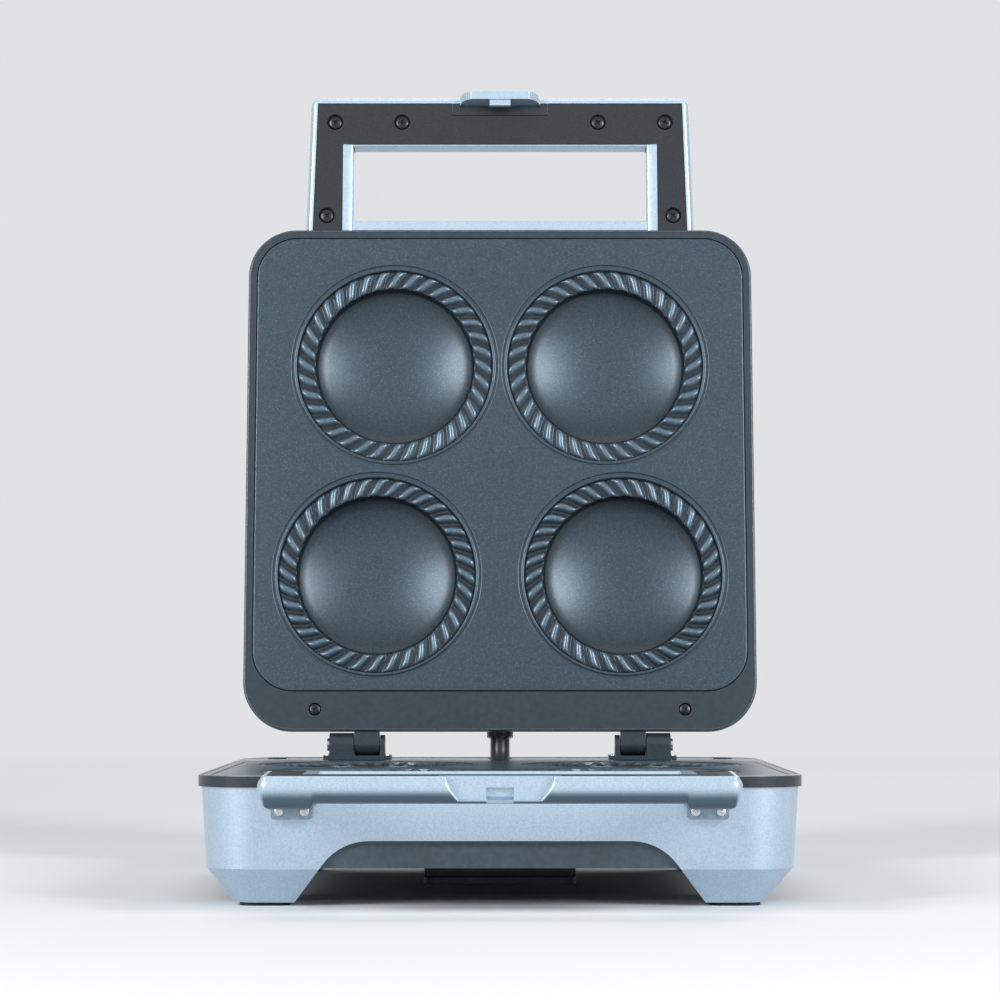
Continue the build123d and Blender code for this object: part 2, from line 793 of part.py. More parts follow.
def make_conduit(cover_body):
    """Elbow that carries the leads past the hinge: straight out of the lid, then a bend about the hinge axis
    whose tail slides in the base."""
    z = hinge_z + conduit_arc
    inside = lid_depth - 14
    tail = radians(conduit_tail)
    ends = [(0, 0, conduit_arc), (0, conduit_arc * cos(tail), -conduit_arc * sin(tail))]
    half_way = (radians(90) - tail) / 2
    middle = (0, conduit_arc * cos(half_way), conduit_arc * sin(half_way))
    bend = ThreePointArc(*[(x, y + hinge_y, w + hinge_z) for x, y, w in (ends[0], middle, ends[1])])
    line = Line((0, inside, z), (0, hinge_y, z)) + bend
    plane = Plane(origin=(0, inside, z), z_dir=(0, 1, 0))
    tube = sweep(plane * Circle(conduit_radius), path=line)
    tube -= sweep(plane * Circle(conduit_bore), path=line)
    collar = rod(collar_radius, (0, inside + 3, z), (0, conduit_start() + collar_width, z)) - cover_body
    collar -= rod(conduit_bore, (0, inside, z), (0, hinge_y, z))
    return tube + collar


def make_conduit_nut(inside):
    """Nut inside the lid that clamps the conduit's collar to the cover."""
    z = hinge_z + conduit_arc
    face = lid_depth - cover_inset(z) - cover_wall
    nut = extrude(Plane(origin=(0, face - 5, z), z_dir=(0, 1, 0)) * RegularPolygon(conduit_nut, 6), 9)
    nut = nut & inside
    nut -= rod(conduit_radius + running_gap, (0, face - 10, z), (0, face + 10, z))
    return nut


# ---------------------------------------------------------------- lid


def make_lid_frame():
    skirt = slab(lid_width, lid_depth, lid_corner, 0, lid_bottom, lid_shoulder)
    inset = cover_wall + fit_gap + cover_inset(lid_bottom + lid_ledge)
    ledge = slab(
        lid_width - 2 * inset, lid_depth - 2 * inset, lid_corner - inset, inset,
        lid_shoulder, lid_bottom + lid_ledge,
    )
    frame = skirt + ledge
    frame -= plate_recess(lid_bottom - 1, upper_seat)
    frame -= ledge_opening(lid_bottom, lid_bottom + lid_ledge + 1)
    frame -= block(-105, 105, plate_front + plate_depth + 4, lid_depth - 6, lid_bottom + 2.5, lid_top)
    for side in (-1, 1):
        frame += knuckle(side)
        rear = (side * lid_screw_x, lid_depth - lid_screw_end)
        frame += rod(boss_radius, (*rear, lid_bottom + 2), (*rear, lid_bottom + lid_ledge))
        x0 = side * (knuckle_inner - 5)
        x1 = side * (knuckle_inner + knuckle_width + 5)
        axle = rod(hinge_pin + running_gap, (x0, hinge_y, hinge_z), (x1, hinge_y, hinge_z))
        frame -= axle
        for x, y, z in lid_screw_spots(side):
            frame -= screw_hole(x, y, lid_bottom - 2, 14)
            frame -= rod(head_radius + fit_gap, (x, y, z + 0.01), (x, y, z - 6))
    for x, y in plate_screw_spots():
        frame -= screw_hole(x, y, upper_seat - 1, 8)
    return frame


def lid_screw_spots(side):
    """Places and head seats of the screws that hold the frame to the cover."""
    front = (side * (lid_width / 2 - lid_screw_side), deck_screw_end, upper_seat + head_height + 0.2)
    rear = (side * lid_screw_x, lid_depth - lid_screw_end, lid_bottom + head_height + 0.3)
    return [front, rear]


def make_lid_screws():
    spots = [spot for side in (-1, 1) for spot in lid_screw_spots(side)]
    return together([screw(x, y, z, lid_bottom + lid_ledge - z + 8) for x, y, z in spots])


def make_cover_body():
    """Outside of the lid cover, solid."""
    body = drafted(
        lid_width, lid_depth, lid_corner,
        [(z, cover_inset(z)) for z in (lid_shoulder, lid_top)],
    )
    return fillet(body.faces().sort_by(Axis.Z)[-1].edges(), cover_edge)


def make_cover_inside():
    """Space inside the lid cover."""
    inside = drafted(
        lid_width, lid_depth, lid_corner,
        [(z, cover_inset(z) + cover_wall) for z in (lid_shoulder - 1, lid_top - cover_wall)],
    )
    return fillet(inside.faces().sort_by(Axis.Z)[-1].edges(), cover_edge - cover_wall)


def make_lid_cover(cover_body, inside):
    cover = cover_body - inside
    top = lid_top - cover_wall
    extra = []
    for side in (-1, 1):
        for x, y, z in lid_screw_spots(side):
            boss = rod(boss_radius, (x, y, lid_bottom + lid_ledge), (x, y, top))
            boss -= screw_hole(x, y, z, lid_bottom + lid_ledge - z + 8)
            extra.append(boss)
        x = side * board_post_x()
        post_end = top - board_drop
        board_post = rod(3, (x, light_y, post_end), (x, light_y, top))
        board_post -= rod(screw_radius, (x, light_y, post_end - 1), (x, light_y, post_end + 5))
        extra.append(board_post)
        x = side * (handle_root_half - arm_width / 2)
        z = mirrored(bolt_height)
        pad = block(x - 11, x + 11, 1.5, 6.5, lid_bottom + lid_ledge + fit_gap, z + 5)
        extra.append(pad)
    cover += extra
    for side in (-1, 1):
        for x in bolt_places(side):
            z = mirrored(bolt_height)
            cover -= rod(bolt_radius + thread_gap, (x, -5, z), (x, 20, z))
        x = side * light_x
        cover -= rod(lens_radius + fit_gap, (x, light_y, top - 1), (x, light_y, lid_top + 1))
    z = hinge_z + conduit_arc
    cover -= rod(conduit_radius + running_gap, (0, lid_depth - 12, z), (0, lid_depth + 9, z))
    return cover


def board_post_x():
    return board_size[0] / 2 - 4


def make_lens(side):
    """Indicator lens pushed through the cover from inside."""
    x = side * light_x
    top = lid_top - cover_wall
    return rod(lens_radius, (x, light_y, top), (x, light_y, lid_top + lens_proud)) + rod(
        lens_radius + 1.2, (x, light_y, top - lens_flange), (x, light_y, top))


def make_light_board():
    w, d, t = board_size
    top = lid_top - cover_wall - board_drop
    board = block(-w / 2, w / 2, light_y - d / 2, light_y + d / 2, top - t, top)
    for side in (-1, 1):
        x = side * board_post_x()
        board -= rod(screw_radius + fit_gap, (x, light_y, top + 1), (x, light_y, top - t - 1))
    return board


def make_board_screws():
    z = lid_top - cover_wall - board_drop - board_size[2]
    return together([screw(s * board_post_x(), light_y, z, 6) for s in (-1, 1)])


def make_lamps():
    """Lamp under each lens, standing on the board."""
    base = lid_top - cover_wall - board_drop
    tip = base + board_drop - 2
    return together([rod(lamp_radius, (x, light_y, base), (x, light_y, tip)) for x in (-light_x, light_x)])


def make_lid_leads():
    """Leads from the conduit's mouth to the light board and to the element's ends."""
    z = hinge_z + conduit_arc
    mouth = lid_depth - 14.1
    rear = plate_front + plate_depth - element_inset
    end = upper_seat + element_end
    turn = end + lead_turn
    board = lid_top - cover_wall - board_drop - board_size[2]
    leads = []
    for side in (-1, 1):
        leads.append(lead([
            (side * 1.1, mouth, z + 1.9), (side * 1.1, rear + 9, z + 1.9), (side * 6, light_y + 4, z),
            (side * 6, light_y + 4, board - 0.1),
        ], radius=0.8, bend=2.2))
        leads.append(lead([
            (side * 1.6, mouth, z - 1.3), (side * 1.6, rear + 8, z - 1.3),
            (side * element_tail, rear + 8, z - 1.3),
            (side * element_tail, rear + 8, turn), (side * element_tail, rear, turn),
            (side * element_tail, rear, end + 0.1),
        ], bend=2.2))
    return together(leads)


# ---------------------------------------------------------------- handles


def bolt_places(side):
    """X of the two bolts that hold a handle's arm."""
    middle = handle_root_half - arm_width / 2
    return [side * (middle - bolt_spacing / 2), side * (middle + bolt_spacing / 2)]


def mirrored(z):
    """Height in the upper handle that matches height z in the lower one."""
    return 2 * mirror_height - z


def loop_outline(inset, root):
    """Trapezoid of a handle's outside in plan, drawn in by inset and running back to Y = root."""
    reach = handle_reach - inset
    slope = (handle_root_half - handle_end_half) / handle_reach
    end = handle_end_half + slope * inset - inset
    back = handle_root_half - inset + slope * root
    return make_face(Polyline((-back, root), (back, root), (end, -reach), (-end, -reach), close=True))


def strip_front():
    """Y of the front of the strip between the arms' roots."""
    return -deck_overhang - root_gap - root_strip


def handle_opening(inset, z0, z1):
    """Space inside the loop, drawn in by inset."""
    half = handle_root_half - arm_width - inset
    front = -handle_reach + bar_width + inset
    rear = strip_front() - inset
    return block(-half, half, front, rear, z0, z1)


def arm_ends(face, root):
    """Cuts a plan outline back to the two arms behind the root strip."""
    half = handle_root_half - arm_width
    back = root - root_gap
    return face - Polygon((-half, back), (half, back), (half, 9), (-half, 9), align=None)


def make_handle_shell(root):
    """Lower handle, ending at Y = root: silver loop, root strip and the pocket for its insert."""
    outline = arm_ends(loop_outline(0, 3), root)
    corners = [v for v in outline.vertices() if v.Y < -handle_reach + 1]
    outline = fillet(corners, handle_corner)
    loop = extrude(Pos(0, 0, handle_top - bar_height) * outline, bar_height)
    arms = extrude(Pos(0, 0, handle_top - bar_height - arm_extra) * outline, arm_extra)
    arm_half = handle_root_half - arm_width
    arms -= block(-arm_half, arm_half, -handle_reach - 1, 10, 0, handle_top)
    loop -= handle_opening(0, 0, handle_top + 1)
    strip_low = handle_top - root_strip_height
    loop -= block(-arm_half, arm_half, strip_front(), 5, 0, strip_low)
    shell = loop + arms
    edges = [
        e for e in shell.edges()
        if e.center().Z < handle_top - bar_height + 0.1 and e.bounding_box().size.Z < 0.1
        and abs(e.center().Y + handle_reach) < 1
    ]
    if edges:
        shell = fillet(edges, handle_edge - 1)
    shell -= insert_space(root, 0, handle_top + 1)
    return shell


def insert_space(root, gap, top):
    """Pocket of the insert, drawn in by gap: the bar and the two arms, inside the rims."""
    base = handle_top - insert_depth
    pocket = extrude(Pos(0, 0, base) * loop_outline(outer_rim + gap, root - gap), top - base)
    half = handle_root_half - arm_width + inner_rim + gap
    front = -handle_reach + bar_width - bar_rim - gap
    pocket -= block(-half, half, front, root + 2, 0, top + 1)
    half = keeper_half + 1 + gap
    pocket -= block(-half, half, -handle_reach - 5, latch_wall() + gap, 0, top + 1)
    return pocket


def latch_wall():
    """Y behind which a handle is free of its half of the latch."""
    return -handle_reach + keeper_depth + keeper_thickness + 2.0


def insert_head_space(x, y, top):
    return rod(insert_counterbore, (x, y, top - head_height - 0.4), (x, y, top + 1))


def make_insert(root):
    """Dark grip that fills the pocket, with counterbored screws."""
    insert = insert_space(root, fit_gap, handle_top)
    for x, y in insert_screws:
        insert -= insert_head_space(x, y, handle_top)
        insert -= rod(screw_radius + thread_gap, (x, y, handle_top), (x, y, handle_top - insert_depth - 1))
    return insert


def make_insert_screws():
    z = handle_top - head_height - 0.4
    return together([screw(x, y, z, insert_depth + 2, up=False, head=insert_head) for x, y in insert_screws])


def drilled(shell):
    """Handle shell with its screw and bolt holes."""
    foot = handle_top - insert_depth - head_height - 3
    for x, y in insert_screws:
        shell -= rod(screw_radius + thread_gap, (x, y, handle_top), (x, y, foot))
    for side in (-1, 1):
        for x in bolt_places(side):
            shell -= rod(bolt_radius + thread_gap, (x, 10, bolt_height), (x, -bolt_length + 3, bolt_height))
    return shell


def handle_bolt(x, seat, z):
    """Bolt through a wall into an arm, its head inside."""
    shank = rod(bolt_radius, (x, seat, z), (x, -bolt_length + 4, z))
    return shank + rod(bolt_head, (x, seat, z), (x, seat + 2.5, z))


def upside_down(part):
    """The upper handle's copy of a lower handle's piece."""
    return mirror(part, about=Plane.XY.offset(mirror_height))


def flap_outline(grow):
    """Front outline of the latch flap below its pivot, grown by a gap."""
    half = flap_width / 2 + grow
    foot = flap_foot_width / 2 + grow
    low = flap_bottom - grow
    bow = (foot + (half - foot) * 0.62, flap_bottom + (flap_shoulder - flap_bottom) * 0.42)
    side = ThreePointArc((half, flap_shoulder), bow, (foot, low))
    other = ThreePointArc((-foot, low), (-bow[0], bow[1]), (-half, flap_shoulder))
    top = pivot_height
    lines = Line((-half, top), (half, top)) + Line((half, top), (half, flap_shoulder)) + side
    lines += Line((foot, low), (-foot, low)) + other + Line((-half, flap_shoulder), (-half, top))
    return make_face(lines)


def make_flap():
    """Latch flap: barrel on its pin, plate over both handles and the tooth behind it."""
    front = -handle_reach
    plate = extrude(Plane.XZ.offset(-(front + flap_thickness)) * flap_outline(0), flap_thickness)
    barrel_y = front + barrel_radius
    half = flap_width / 2
    flap = plate + rod(barrel_radius, (-half, barrel_y, pivot_height), (half, barrel_y, pivot_height))
    inner = front + flap_thickness
    reach = inner + tooth_depth
    flap += block(-tooth_width / 2, tooth_width / 2, inner - 0.5, reach, tooth_bottom, tooth_top)
    bore = latch_pin_radius + running_gap
    flap -= rod(bore, (-flap_width, barrel_y, pivot_height), (flap_width, barrel_y, pivot_height))
    window = spring_half + 0.5
    back = front + 2 * barrel_radius + 1
    flap -= block(-window, window, front + flap_skin, back, pivot_height - 4, pivot_height + 4)
    return flap


def make_latch_pin():
    y = -handle_reach + barrel_radius
    half = flap_width / 2 + 3
    return rod(latch_pin_radius, (-half, y, pivot_height), (half, y, pivot_height))


def make_latch_spring():
    """Close-wound torsion spring round the pin: its coils, as one ribbed sleeve."""
    y = -handle_reach + barrel_radius
    inner = latch_pin_radius + 0.1
    outer = inner + spring_wire
    turns = 8
    pitch = 2 * spring_half / turns
    points = [(-spring_half, inner)]
    for i in range(turns):
        x = -spring_half + i * pitch
        points += [(x, outer - spring_wire * 0.4), (x + pitch / 2, outer)]
    points += [(spring_half, outer - spring_wire * 0.4), (spring_half, inner)]
    sleeve = Pos(0, y, pivot_height) * revolve(make_face(Polyline(*points, close=True)), Axis.X)
    up = pivot_height + inner + spring_wire / 2
    x = spring_wire - spring_half
    leg = rod(spring_wire / 2, (x, y, up), (x, notch_back(), up))
    return sleeve + leg


def make_keeper():
    """Keeper plate in the lower bar, with the window that the tooth snaps into."""
    face = -handle_reach + keeper_depth
    low = flap_bottom - recess_gap + 0.3
    keeper = block(-keeper_half, keeper_half, face, face + keeper_thickness, low, handle_top)
    window = tooth_width / 2 + 0.5
    rear = face + keeper_thickness + 1
    return keeper - block(-window, window, face - 1, rear, tooth_bottom - 1.4, tooth_top + 0.4)


def keeper_space():
    """What the lower bar leaves out for the flap and the keeper."""
    front = -handle_reach
    face = front + keeper_depth
    recess = extrude(Plane.XZ.offset(-face) * flap_outline(recess_gap), keeper_depth + 1)
    low = flap_bottom - recess_gap + 0.3
    pocket = block(-keeper_half, keeper_half, face, face + keeper_thickness, low, handle_top + 1)
    window = tooth_width / 2 + 0.5
    relief = block(-window, window, face, face + keeper_thickness + 1.2, tooth_bottom - 1.4, tooth_top + 0.4)
    return recess + pocket + relief


def notch_back():
    """Y of the upper bar's wall behind the flap."""
    return -handle_reach + 2 * barrel_radius + notch_gap


def notch_space():
    """What the upper bar leaves out for the flap's barrel and plate."""
    front = -handle_reach
    half = flap_width / 2 + notch_gap
    top = pivot_height + barrel_radius + notch_gap
    notch = block(-half, half, front - 1, notch_back(), mirror_height, top)
    y = front + barrel_radius
    pin = rod(latch_pin_radius + thread_gap, (-half - 3, y, pivot_height), (half + 3, y, pivot_height))
    return notch + pin


# ---------------------------------------------------------------- brackets under the lower arms


def bracket_screw_spots(side):
    """X and Z of the two screws in a bracket's face."""
    middle = handle_root_half - arm_width / 2
    z = handle_top - bar_height - arm_extra - 3.6
    return [(side * (middle - 5.5), z), (side * (middle + 5.5), z)]


def bracket_pin(spot, gap):
    x, z = spot
    return rod(1.2 + gap, (x, -6, z), (x, 7, z))


def make_arm_bracket(side, base_body):
    """Lug under an arm's root, flat against the base's front."""
    middle = side * (handle_root_half - arm_width / 2)
    top = handle_top - bar_height - arm_extra
    lug = block(middle - 9, middle + 9, -4.5, 4, top - 7, top)
    lug = fillet(lug.edges().filter_by(Axis.Y), 1.5)
    lug -= base_body
    for spot in bracket_screw_spots(side):
        lug -= bracket_pin(spot, thread_gap)
    return lug


def make_bracket_screws():
    screws = []
    for side in (-1, 1):
        for x, z in bracket_screw_spots(side):
            screws.append(rod(1.2, (x, -4.5, z), (x, 6.5, z)) + rod(2.1, (x, -5.6, z), (x, -4.5, z)))
    return together(screws)


def storage_peg(side, gap):
    """Peg that holds a rear storage foot in the shell's back wall."""
    x = side * storage_foot_x
    return rod(2.5 + gap, (x, base_depth - 9, storage_foot_z), (x, base_depth + 2, storage_foot_z))


def make_storage_feet(base_body):
    """Rubber feet on the back, for standing the closed object on end."""
    w, d, h = storage_foot
    feet = []
    for side in (-1, 1):
        x = side * storage_foot_x
        low = storage_foot_z - h / 2
        foot = block(x - w / 2, x + w / 2, base_depth - 4, base_depth + d, low, low + h)
        foot = fillet(foot.edges().filter_by(Axis.Y), 4)
        feet.append(foot - base_body + storage_peg(side, 0))
    return together(feet)


# ---------------------------------------------------------------- assembly


def base_nodes():
    """Every node of the base, by name."""
    shell = make_base_shell()
    deck = make_deck_frame()
    base_body = drafted(
        base_width, base_depth, base_corner,
        [(foot_pad, leg_inset), (crease_height, crease_inset), (shell_top, 0)],
    )
    deck_body = slab(
        base_width + 2 * deck_overhang, base_depth + 2 * deck_overhang, base_corner + deck_overhang,
        -deck_overhang, shell_top, deck_top + 3,
    )
    handle = drilled(make_handle_shell(-deck_overhang) - keeper_space()) - base_body - deck_body
    return {
        "base_shell": shell,
        "deck_frame": deck,
        "bottom_cover": make_bottom_cover(),
        "rubber_feet": make_feet(),
        "bottom_cover_screws": make_pan_screws(),
        "cord_wrap_cleats": make_cleats(),
        "cleat_screws": make_cleat_screws(),
        "deck_screws": make_deck_screws(),
        "storage_feet": make_storage_feet(base_body),
        "lower_baking_plate": make_lower_plate(),
        "lower_heating_element": make_element(plate_seat, -1, lower_tail),
        "lower_element_clips": make_element_clips(plate_seat, -1),
        "lower_reflector_tray": make_tray(plate_seat, -1, lower_tray_drop, lower_notch),
        "lower_tray_screws": make_tray_screws(plate_seat, -1, lower_tray_drop),
        "lower_plate_screws": make_plate_screws(plate_seat, deck_bottom),
        "thermostat": make_thermostat(),
        "thermal_fuse": make_thermal_fuse(),
        "terminal_block": make_terminal_block(),
        "cord_gland": make_gland(),
        "base_leads": make_base_leads(),
        "hinge_brackets": together(both_sides(make_bracket)),
        "hinge_pins": together(both_sides(make_hinge_pin)),
        "hinge_screws": make_hinge_screws(),
        "lower_handle_shell": handle,
        "lower_handle_insert": make_insert(-deck_overhang),
        "lower_insert_screws": make_insert_screws(),
        "latch_keeper": make_keeper(),
        "lower_handle_bolts": together(
            [handle_bolt(x, bolt_seat, bolt_height) for s in (-1, 1) for x in bolt_places(s)]
        ),
        "handle_brackets": together([make_arm_bracket(s, base_body) for s in (-1, 1)]),
        "bracket_screws": make_bracket_screws(),
    }


def lid_nodes():
    """Every node that opens with the lid, by name, laid out closed."""
    cover_body = make_cover_body()
    inside = make_cover_inside()
    frame_body = slab(lid_width, lid_depth, lid_corner, 0, lid_bottom - 2, lid_shoulder)
    handle = upside_down(drilled(make_handle_shell(0))) - notch_space() - cover_body - frame_body
    seat = 6.5
    return {
        "lid_frame": make_lid_frame(),
        "lid_cover": make_lid_cover(cover_body, inside),
        "lid_screws": make_lid_screws(),
        "upper_baking_plate": make_upper_plate(),
        "upper_heating_element": make_element(upper_seat, 1, upper_tail),
        "upper_element_clips": make_element_clips(upper_seat, 1),
        "upper_reflector_tray": make_tray(upper_seat, 1, upper_tray_rise, upper_notch),
        "upper_tray_screws": make_tray_screws(upper_seat, 1, upper_tray_rise),
        "upper_plate_screws": make_plate_screws(upper_seat, lid_bottom + lid_ledge),
        "power_light_lens": make_lens(-1),
        "ready_light_lens": make_lens(1),
        "light_board": make_light_board(),
        "light_board_screws": make_board_screws(),
        "indicator_lamps": make_lamps(),
        "lid_leads": make_lid_leads(),
        "wiring_conduit": make_conduit(cover_body),
        "conduit_nut": make_conduit_nut(inside),
        "upper_handle_shell": handle,
        "upper_handle_insert": upside_down(make_insert(0)),
        "upper_insert_screws": upside_down(make_insert_screws()),
        "upper_handle_bolts": together(
            [handle_bolt(x, seat, mirrored(bolt_height)) for s in (-1, 1) for x in bolt_places(s)]
        ),
        "latch_pin": make_latch_pin(),
        "latch_spring": make_latch_spring(),
    }


def opened(piece):
    """A piece of the lid, turned open about the hinge."""
    return piece.rotate(Axis((0, hinge_y, hinge_z), (1, 0, 0)), -lid_opening)


def main():
    base = base_nodes()
    lid = {name: opened(piece) for name, piece in lid_nodes().items()}
    flap = {"latch_flap": opened(make_flap())}
    nodes.update(base)
    nodes.update(lid)
    nodes.update(flap)
    low = min(piece.bounding_box().min.Y for piece in nodes.values())
    high = max(piece.bounding_box().max.Y for piece in nodes.values())
    shift = -(low + high) / 2
    os.makedirs("parts", exist_ok=True)
    for name, piece in nodes.items():
        export_step(Pos(0, shift, 0) * piece, f"parts/{name}.step")
    turn = radians(-lid_opening)
    dy = -handle_reach + barrel_radius - hinge_y
    dz = pivot_height - hinge_z
    print("shift", round(shift, 4))
    print("hinge axis", round(hinge_y + shift, 4), hinge_z)
    print("latch axis", round(hinge_y + shift + dy * cos(turn) - dz * sin(turn), 4),
          round(hinge_z + dy * sin(turn) + dz * cos(turn), 4))


main()
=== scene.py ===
import math

import bmesh
import bpy
import numpy as np
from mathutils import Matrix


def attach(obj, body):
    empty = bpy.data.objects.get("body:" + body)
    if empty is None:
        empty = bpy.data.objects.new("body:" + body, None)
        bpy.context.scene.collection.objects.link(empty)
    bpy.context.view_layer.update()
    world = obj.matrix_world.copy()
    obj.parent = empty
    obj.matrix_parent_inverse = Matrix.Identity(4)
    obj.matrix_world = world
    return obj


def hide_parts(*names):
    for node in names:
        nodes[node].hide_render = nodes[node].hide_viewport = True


# A four-well pie maker, standing open. Pieces are drawn in mm on the closed machine: X to the right, Y from
# the front handle to the hinge, Z up. onBase and onLid move them into place.
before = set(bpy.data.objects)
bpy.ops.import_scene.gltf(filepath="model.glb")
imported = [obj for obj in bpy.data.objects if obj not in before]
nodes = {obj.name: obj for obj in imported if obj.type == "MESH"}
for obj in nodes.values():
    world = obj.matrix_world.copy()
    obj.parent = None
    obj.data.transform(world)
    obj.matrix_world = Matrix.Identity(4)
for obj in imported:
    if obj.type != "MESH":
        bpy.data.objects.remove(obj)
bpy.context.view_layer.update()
print("frame loaded with", len(nodes), "nodes")

layout = {
    "rowShift": -133.4289,  # from the drawing's Y to the room's
    "hingeY": 271.5,
    "hingeZ": 64.5,
    "opening": 98.0,  # degrees that the lid stands open
    "deckTop": 57.0,
    "lidBottom": 58.0,
    "mirrorHeight": 59.85,  # the upper handle is the lower one, turned over at this height
}
meshing = {
    "mergeSteps": 2e6,  # steps in a metre; points on the same step are one
    "plainValue": 0.42,  # for points to which a patch gives no value: the middle value, where painted light leaves the coating's colour as it is
    "leaning": (0.31, 0.87, 0.22),  # lies along no main direction, so it gives any axis a side
}


# A point on the base, in metres: a shift along Y.
def onBase(points):
    moved = np.array(points, dtype=float)
    moved[..., 1] += layout["rowShift"]
    return moved / 1000


# A point on the open lid, in metres: turned back about the hinge's axis, then shifted as the base is.
def onLid(points):
    moved = np.array(points, dtype=float)
    turn = math.radians(layout["opening"])
    y = moved[..., 1] - layout["hingeY"]
    z = moved[..., 2] - layout["hingeZ"]
    moved[..., 1] = layout["hingeY"] + y * math.cos(turn) + z * math.sin(turn)
    moved[..., 2] = layout["hingeZ"] - y * math.sin(turn) + z * math.cos(turn)
    return onBase(moved)


places = {"base": onBase, "lid": onLid}


# Four-sided faces between neighbours of a grid of points; a closed way joins its last row to its first.
def gridFaces(rows, columns, closeRows, closeColumns):
    index = np.arange(rows * columns).reshape(rows, columns)
    if closeRows:
        index = np.vstack([index, index[:1]])
    if closeColumns:
        index = np.hstack([index, index[:, :1]])
    corners = [index[:-1, :-1], index[1:, :-1], index[1:, 1:], index[:-1, 1:]]
    return np.stack(corners, axis=-1).reshape(-1, 4)


# One patch: the grid's points as a list, its faces, and one value for each point.
def patch(points, closeRows=False, closeColumns=False, values=None):
    listed = points.reshape(-1, 3)
    values = np.full(len(listed), meshing["plainValue"]) if values is None else values.reshape(-1)
    return listed, gridFaces(*points.shape[:2], closeRows, closeColumns), values


# A new object in the scene.
def addObject(name, data):
    thing = bpy.data.objects.new(name, data)
    bpy.context.collection.objects.link(thing)
    return thing


# Several patches as one mesh: equal points are merged, and a face squashed to three corners is a triangle.
def makePiece(name, patches, material, body, stands, sharp, valueName=None):
    starts = np.cumsum([0] + [len(points) for points, _, _ in patches[:-1]])
    points = np.concatenate([points for points, _, _ in patches])
    values = np.concatenate([values for _, _, values in patches])
    quads = np.concatenate([faces + start for (_, faces, _), start in zip(patches, starts)])
    key = np.round(points * meshing["mergeSteps"]).astype(np.int64)
    _, first, back = np.unique(key, axis=0, return_index=True, return_inverse=True)
    quads = back.reshape(-1)[quads]
    same = quads == np.roll(quads, -1, axis=1)
    folded = same.sum(axis=1)
    whole = quads[folded == 0]
    three = quads[folded == 1][~same[folded == 1]].reshape(-1, 3)
    mesh = bpy.data.meshes.new(name)
    mesh.from_pydata(points[first].tolist(), [], whole.tolist() + three.tolist())
    if valueName:
        mesh.attributes.new(valueName, "FLOAT", "POINT").data.foreach_set("value", values[first])
    shell = bmesh.new()
    shell.from_mesh(mesh)
    bmesh.ops.recalc_face_normals(shell, faces=shell.faces)
    shell.to_mesh(mesh)
    shell.free()
    mesh.polygons.foreach_set("use_smooth", np.ones(len(mesh.polygons), dtype=bool))
    mesh.set_sharp_from_angle(angle=math.radians(sharp))
    mesh.materials.append(material)
    piece = addObject(name, mesh)
    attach(piece, body)
    if stands:
        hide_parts(*stands)
    print("made", name, "with", len(mesh.polygons), "faces")


# A line through corners in a plane, each rounded by an arc that touches both runs; radius 0 leaves it.
def rounded(corners, radii, steps=5):
    corners = np.array(corners, dtype=float)
    line = [corners[0]]
    for before, corner, after, radius in zip(corners, corners[1:], corners[2:], radii):
        inward = (before - corner) / np.linalg.norm(before - corner)
        onward = (after - corner) / np.linalg.norm(after - corner)
        if radius == 0:
            line.append(corner)
            continue
        half = math.acos(inward @ onward) / 2
        middle = (inward + onward) / np.linalg.norm(inward + onward)
        centre = corner + middle * radius / math.sin(half)
        a = corner + inward * radius / math.tan(half) - centre
        b = corner + onward * radius / math.tan(half) - centre
        swing = math.pi - 2 * half
        share = np.linspace(0, 1, steps + 1)[:, None]
        arc = (a * np.sin((1 - share) * swing) + b * np.sin(share * swing)) / math.sin(swing)
        line.extend(centre + arc)
    line.append(corners[-1])
    return np.array(line)


# A closed loop of the same: the line starts and ends half way along its last run.
def roundedLoop(corners, radii, steps):
    corners = np.array(corners, dtype=float)
    middle = (corners[-1] + corners[0]) / 2
    return rounded(np.vstack([middle, corners, middle]), radii, steps)[:-1]


# Unit vectors square to an axis, one at each angle: a cosine of one side and a sine of the other.
def ringAbout(axis, angle):
    side = np.cross(np.array(axis, dtype=float), meshing["leaning"])
    side /= np.linalg.norm(side)
    other = np.cross(axis, side)
    return np.cos(angle)[:, None] * side + np.sin(angle)[:, None] * other


# A profile of (radius, height) pairs turned about an axis through centre; height grows along the axis.
def turned(profile, centre, axis, steps, body):
    ring = ringAbout(axis, np.linspace(0, 2 * math.pi, steps, endpoint=False))
    points = np.array(centre) + profile[:, None, 0:1] * ring + profile[:, None, 1:2] * np.array(axis)
    return patch(places[body](points), closeColumns=True)


# Gives a node its values: by its own setting of that name, or else by its input.
def fill(node, values):
    for key, value in values.items():
        if hasattr(node, key):
            setattr(node, key, value)
        else:
            node.inputs[key].default_value = value
    return node


# A new node, given its values.
def addNode(tree, kind, **values):
    return fill(tree.nodes.new(kind), values)


# Links one node's output to another's input.
def join(tree, giver, output, taker, entry):
    tree.links.new(giver.outputs[output], taker.inputs[entry])


# A noise over the object's own coordinates, its size in mm.
def addNoise(tree, place, size, detail):
    noise = addNode(tree, "ShaderNodeTexNoise", Scale=1000 / size, Detail=detail)
    join(tree, place, "Object", noise, "Vector")
    return noise


# A straight mix of two colours over a span of the noise.
def addShades(tree, noise, colours, span=(0.0, 1.0)):
    shades = addNode(tree, "ShaderNodeValToRGB")
    for stop, spot, colour in zip(shades.color_ramp.elements, span, colours):
        stop.position = spot
        stop.color = (*colour, 1)
    join(tree, noise, "Fac", shades, "Fac")
    return shades


# One span of values moved on to another.
def addRange(tree, giver, output, source=(0.0, 1.0), target=(0.0, 1.0), **values):
    node = addNode(tree, "ShaderNodeMapRange", **values)
    fill(node, {"From Min": source[0], "From Max": source[1], "To Min": target[0], "To Max": target[1]})
    join(tree, giver, output, node, "Value")
    return node


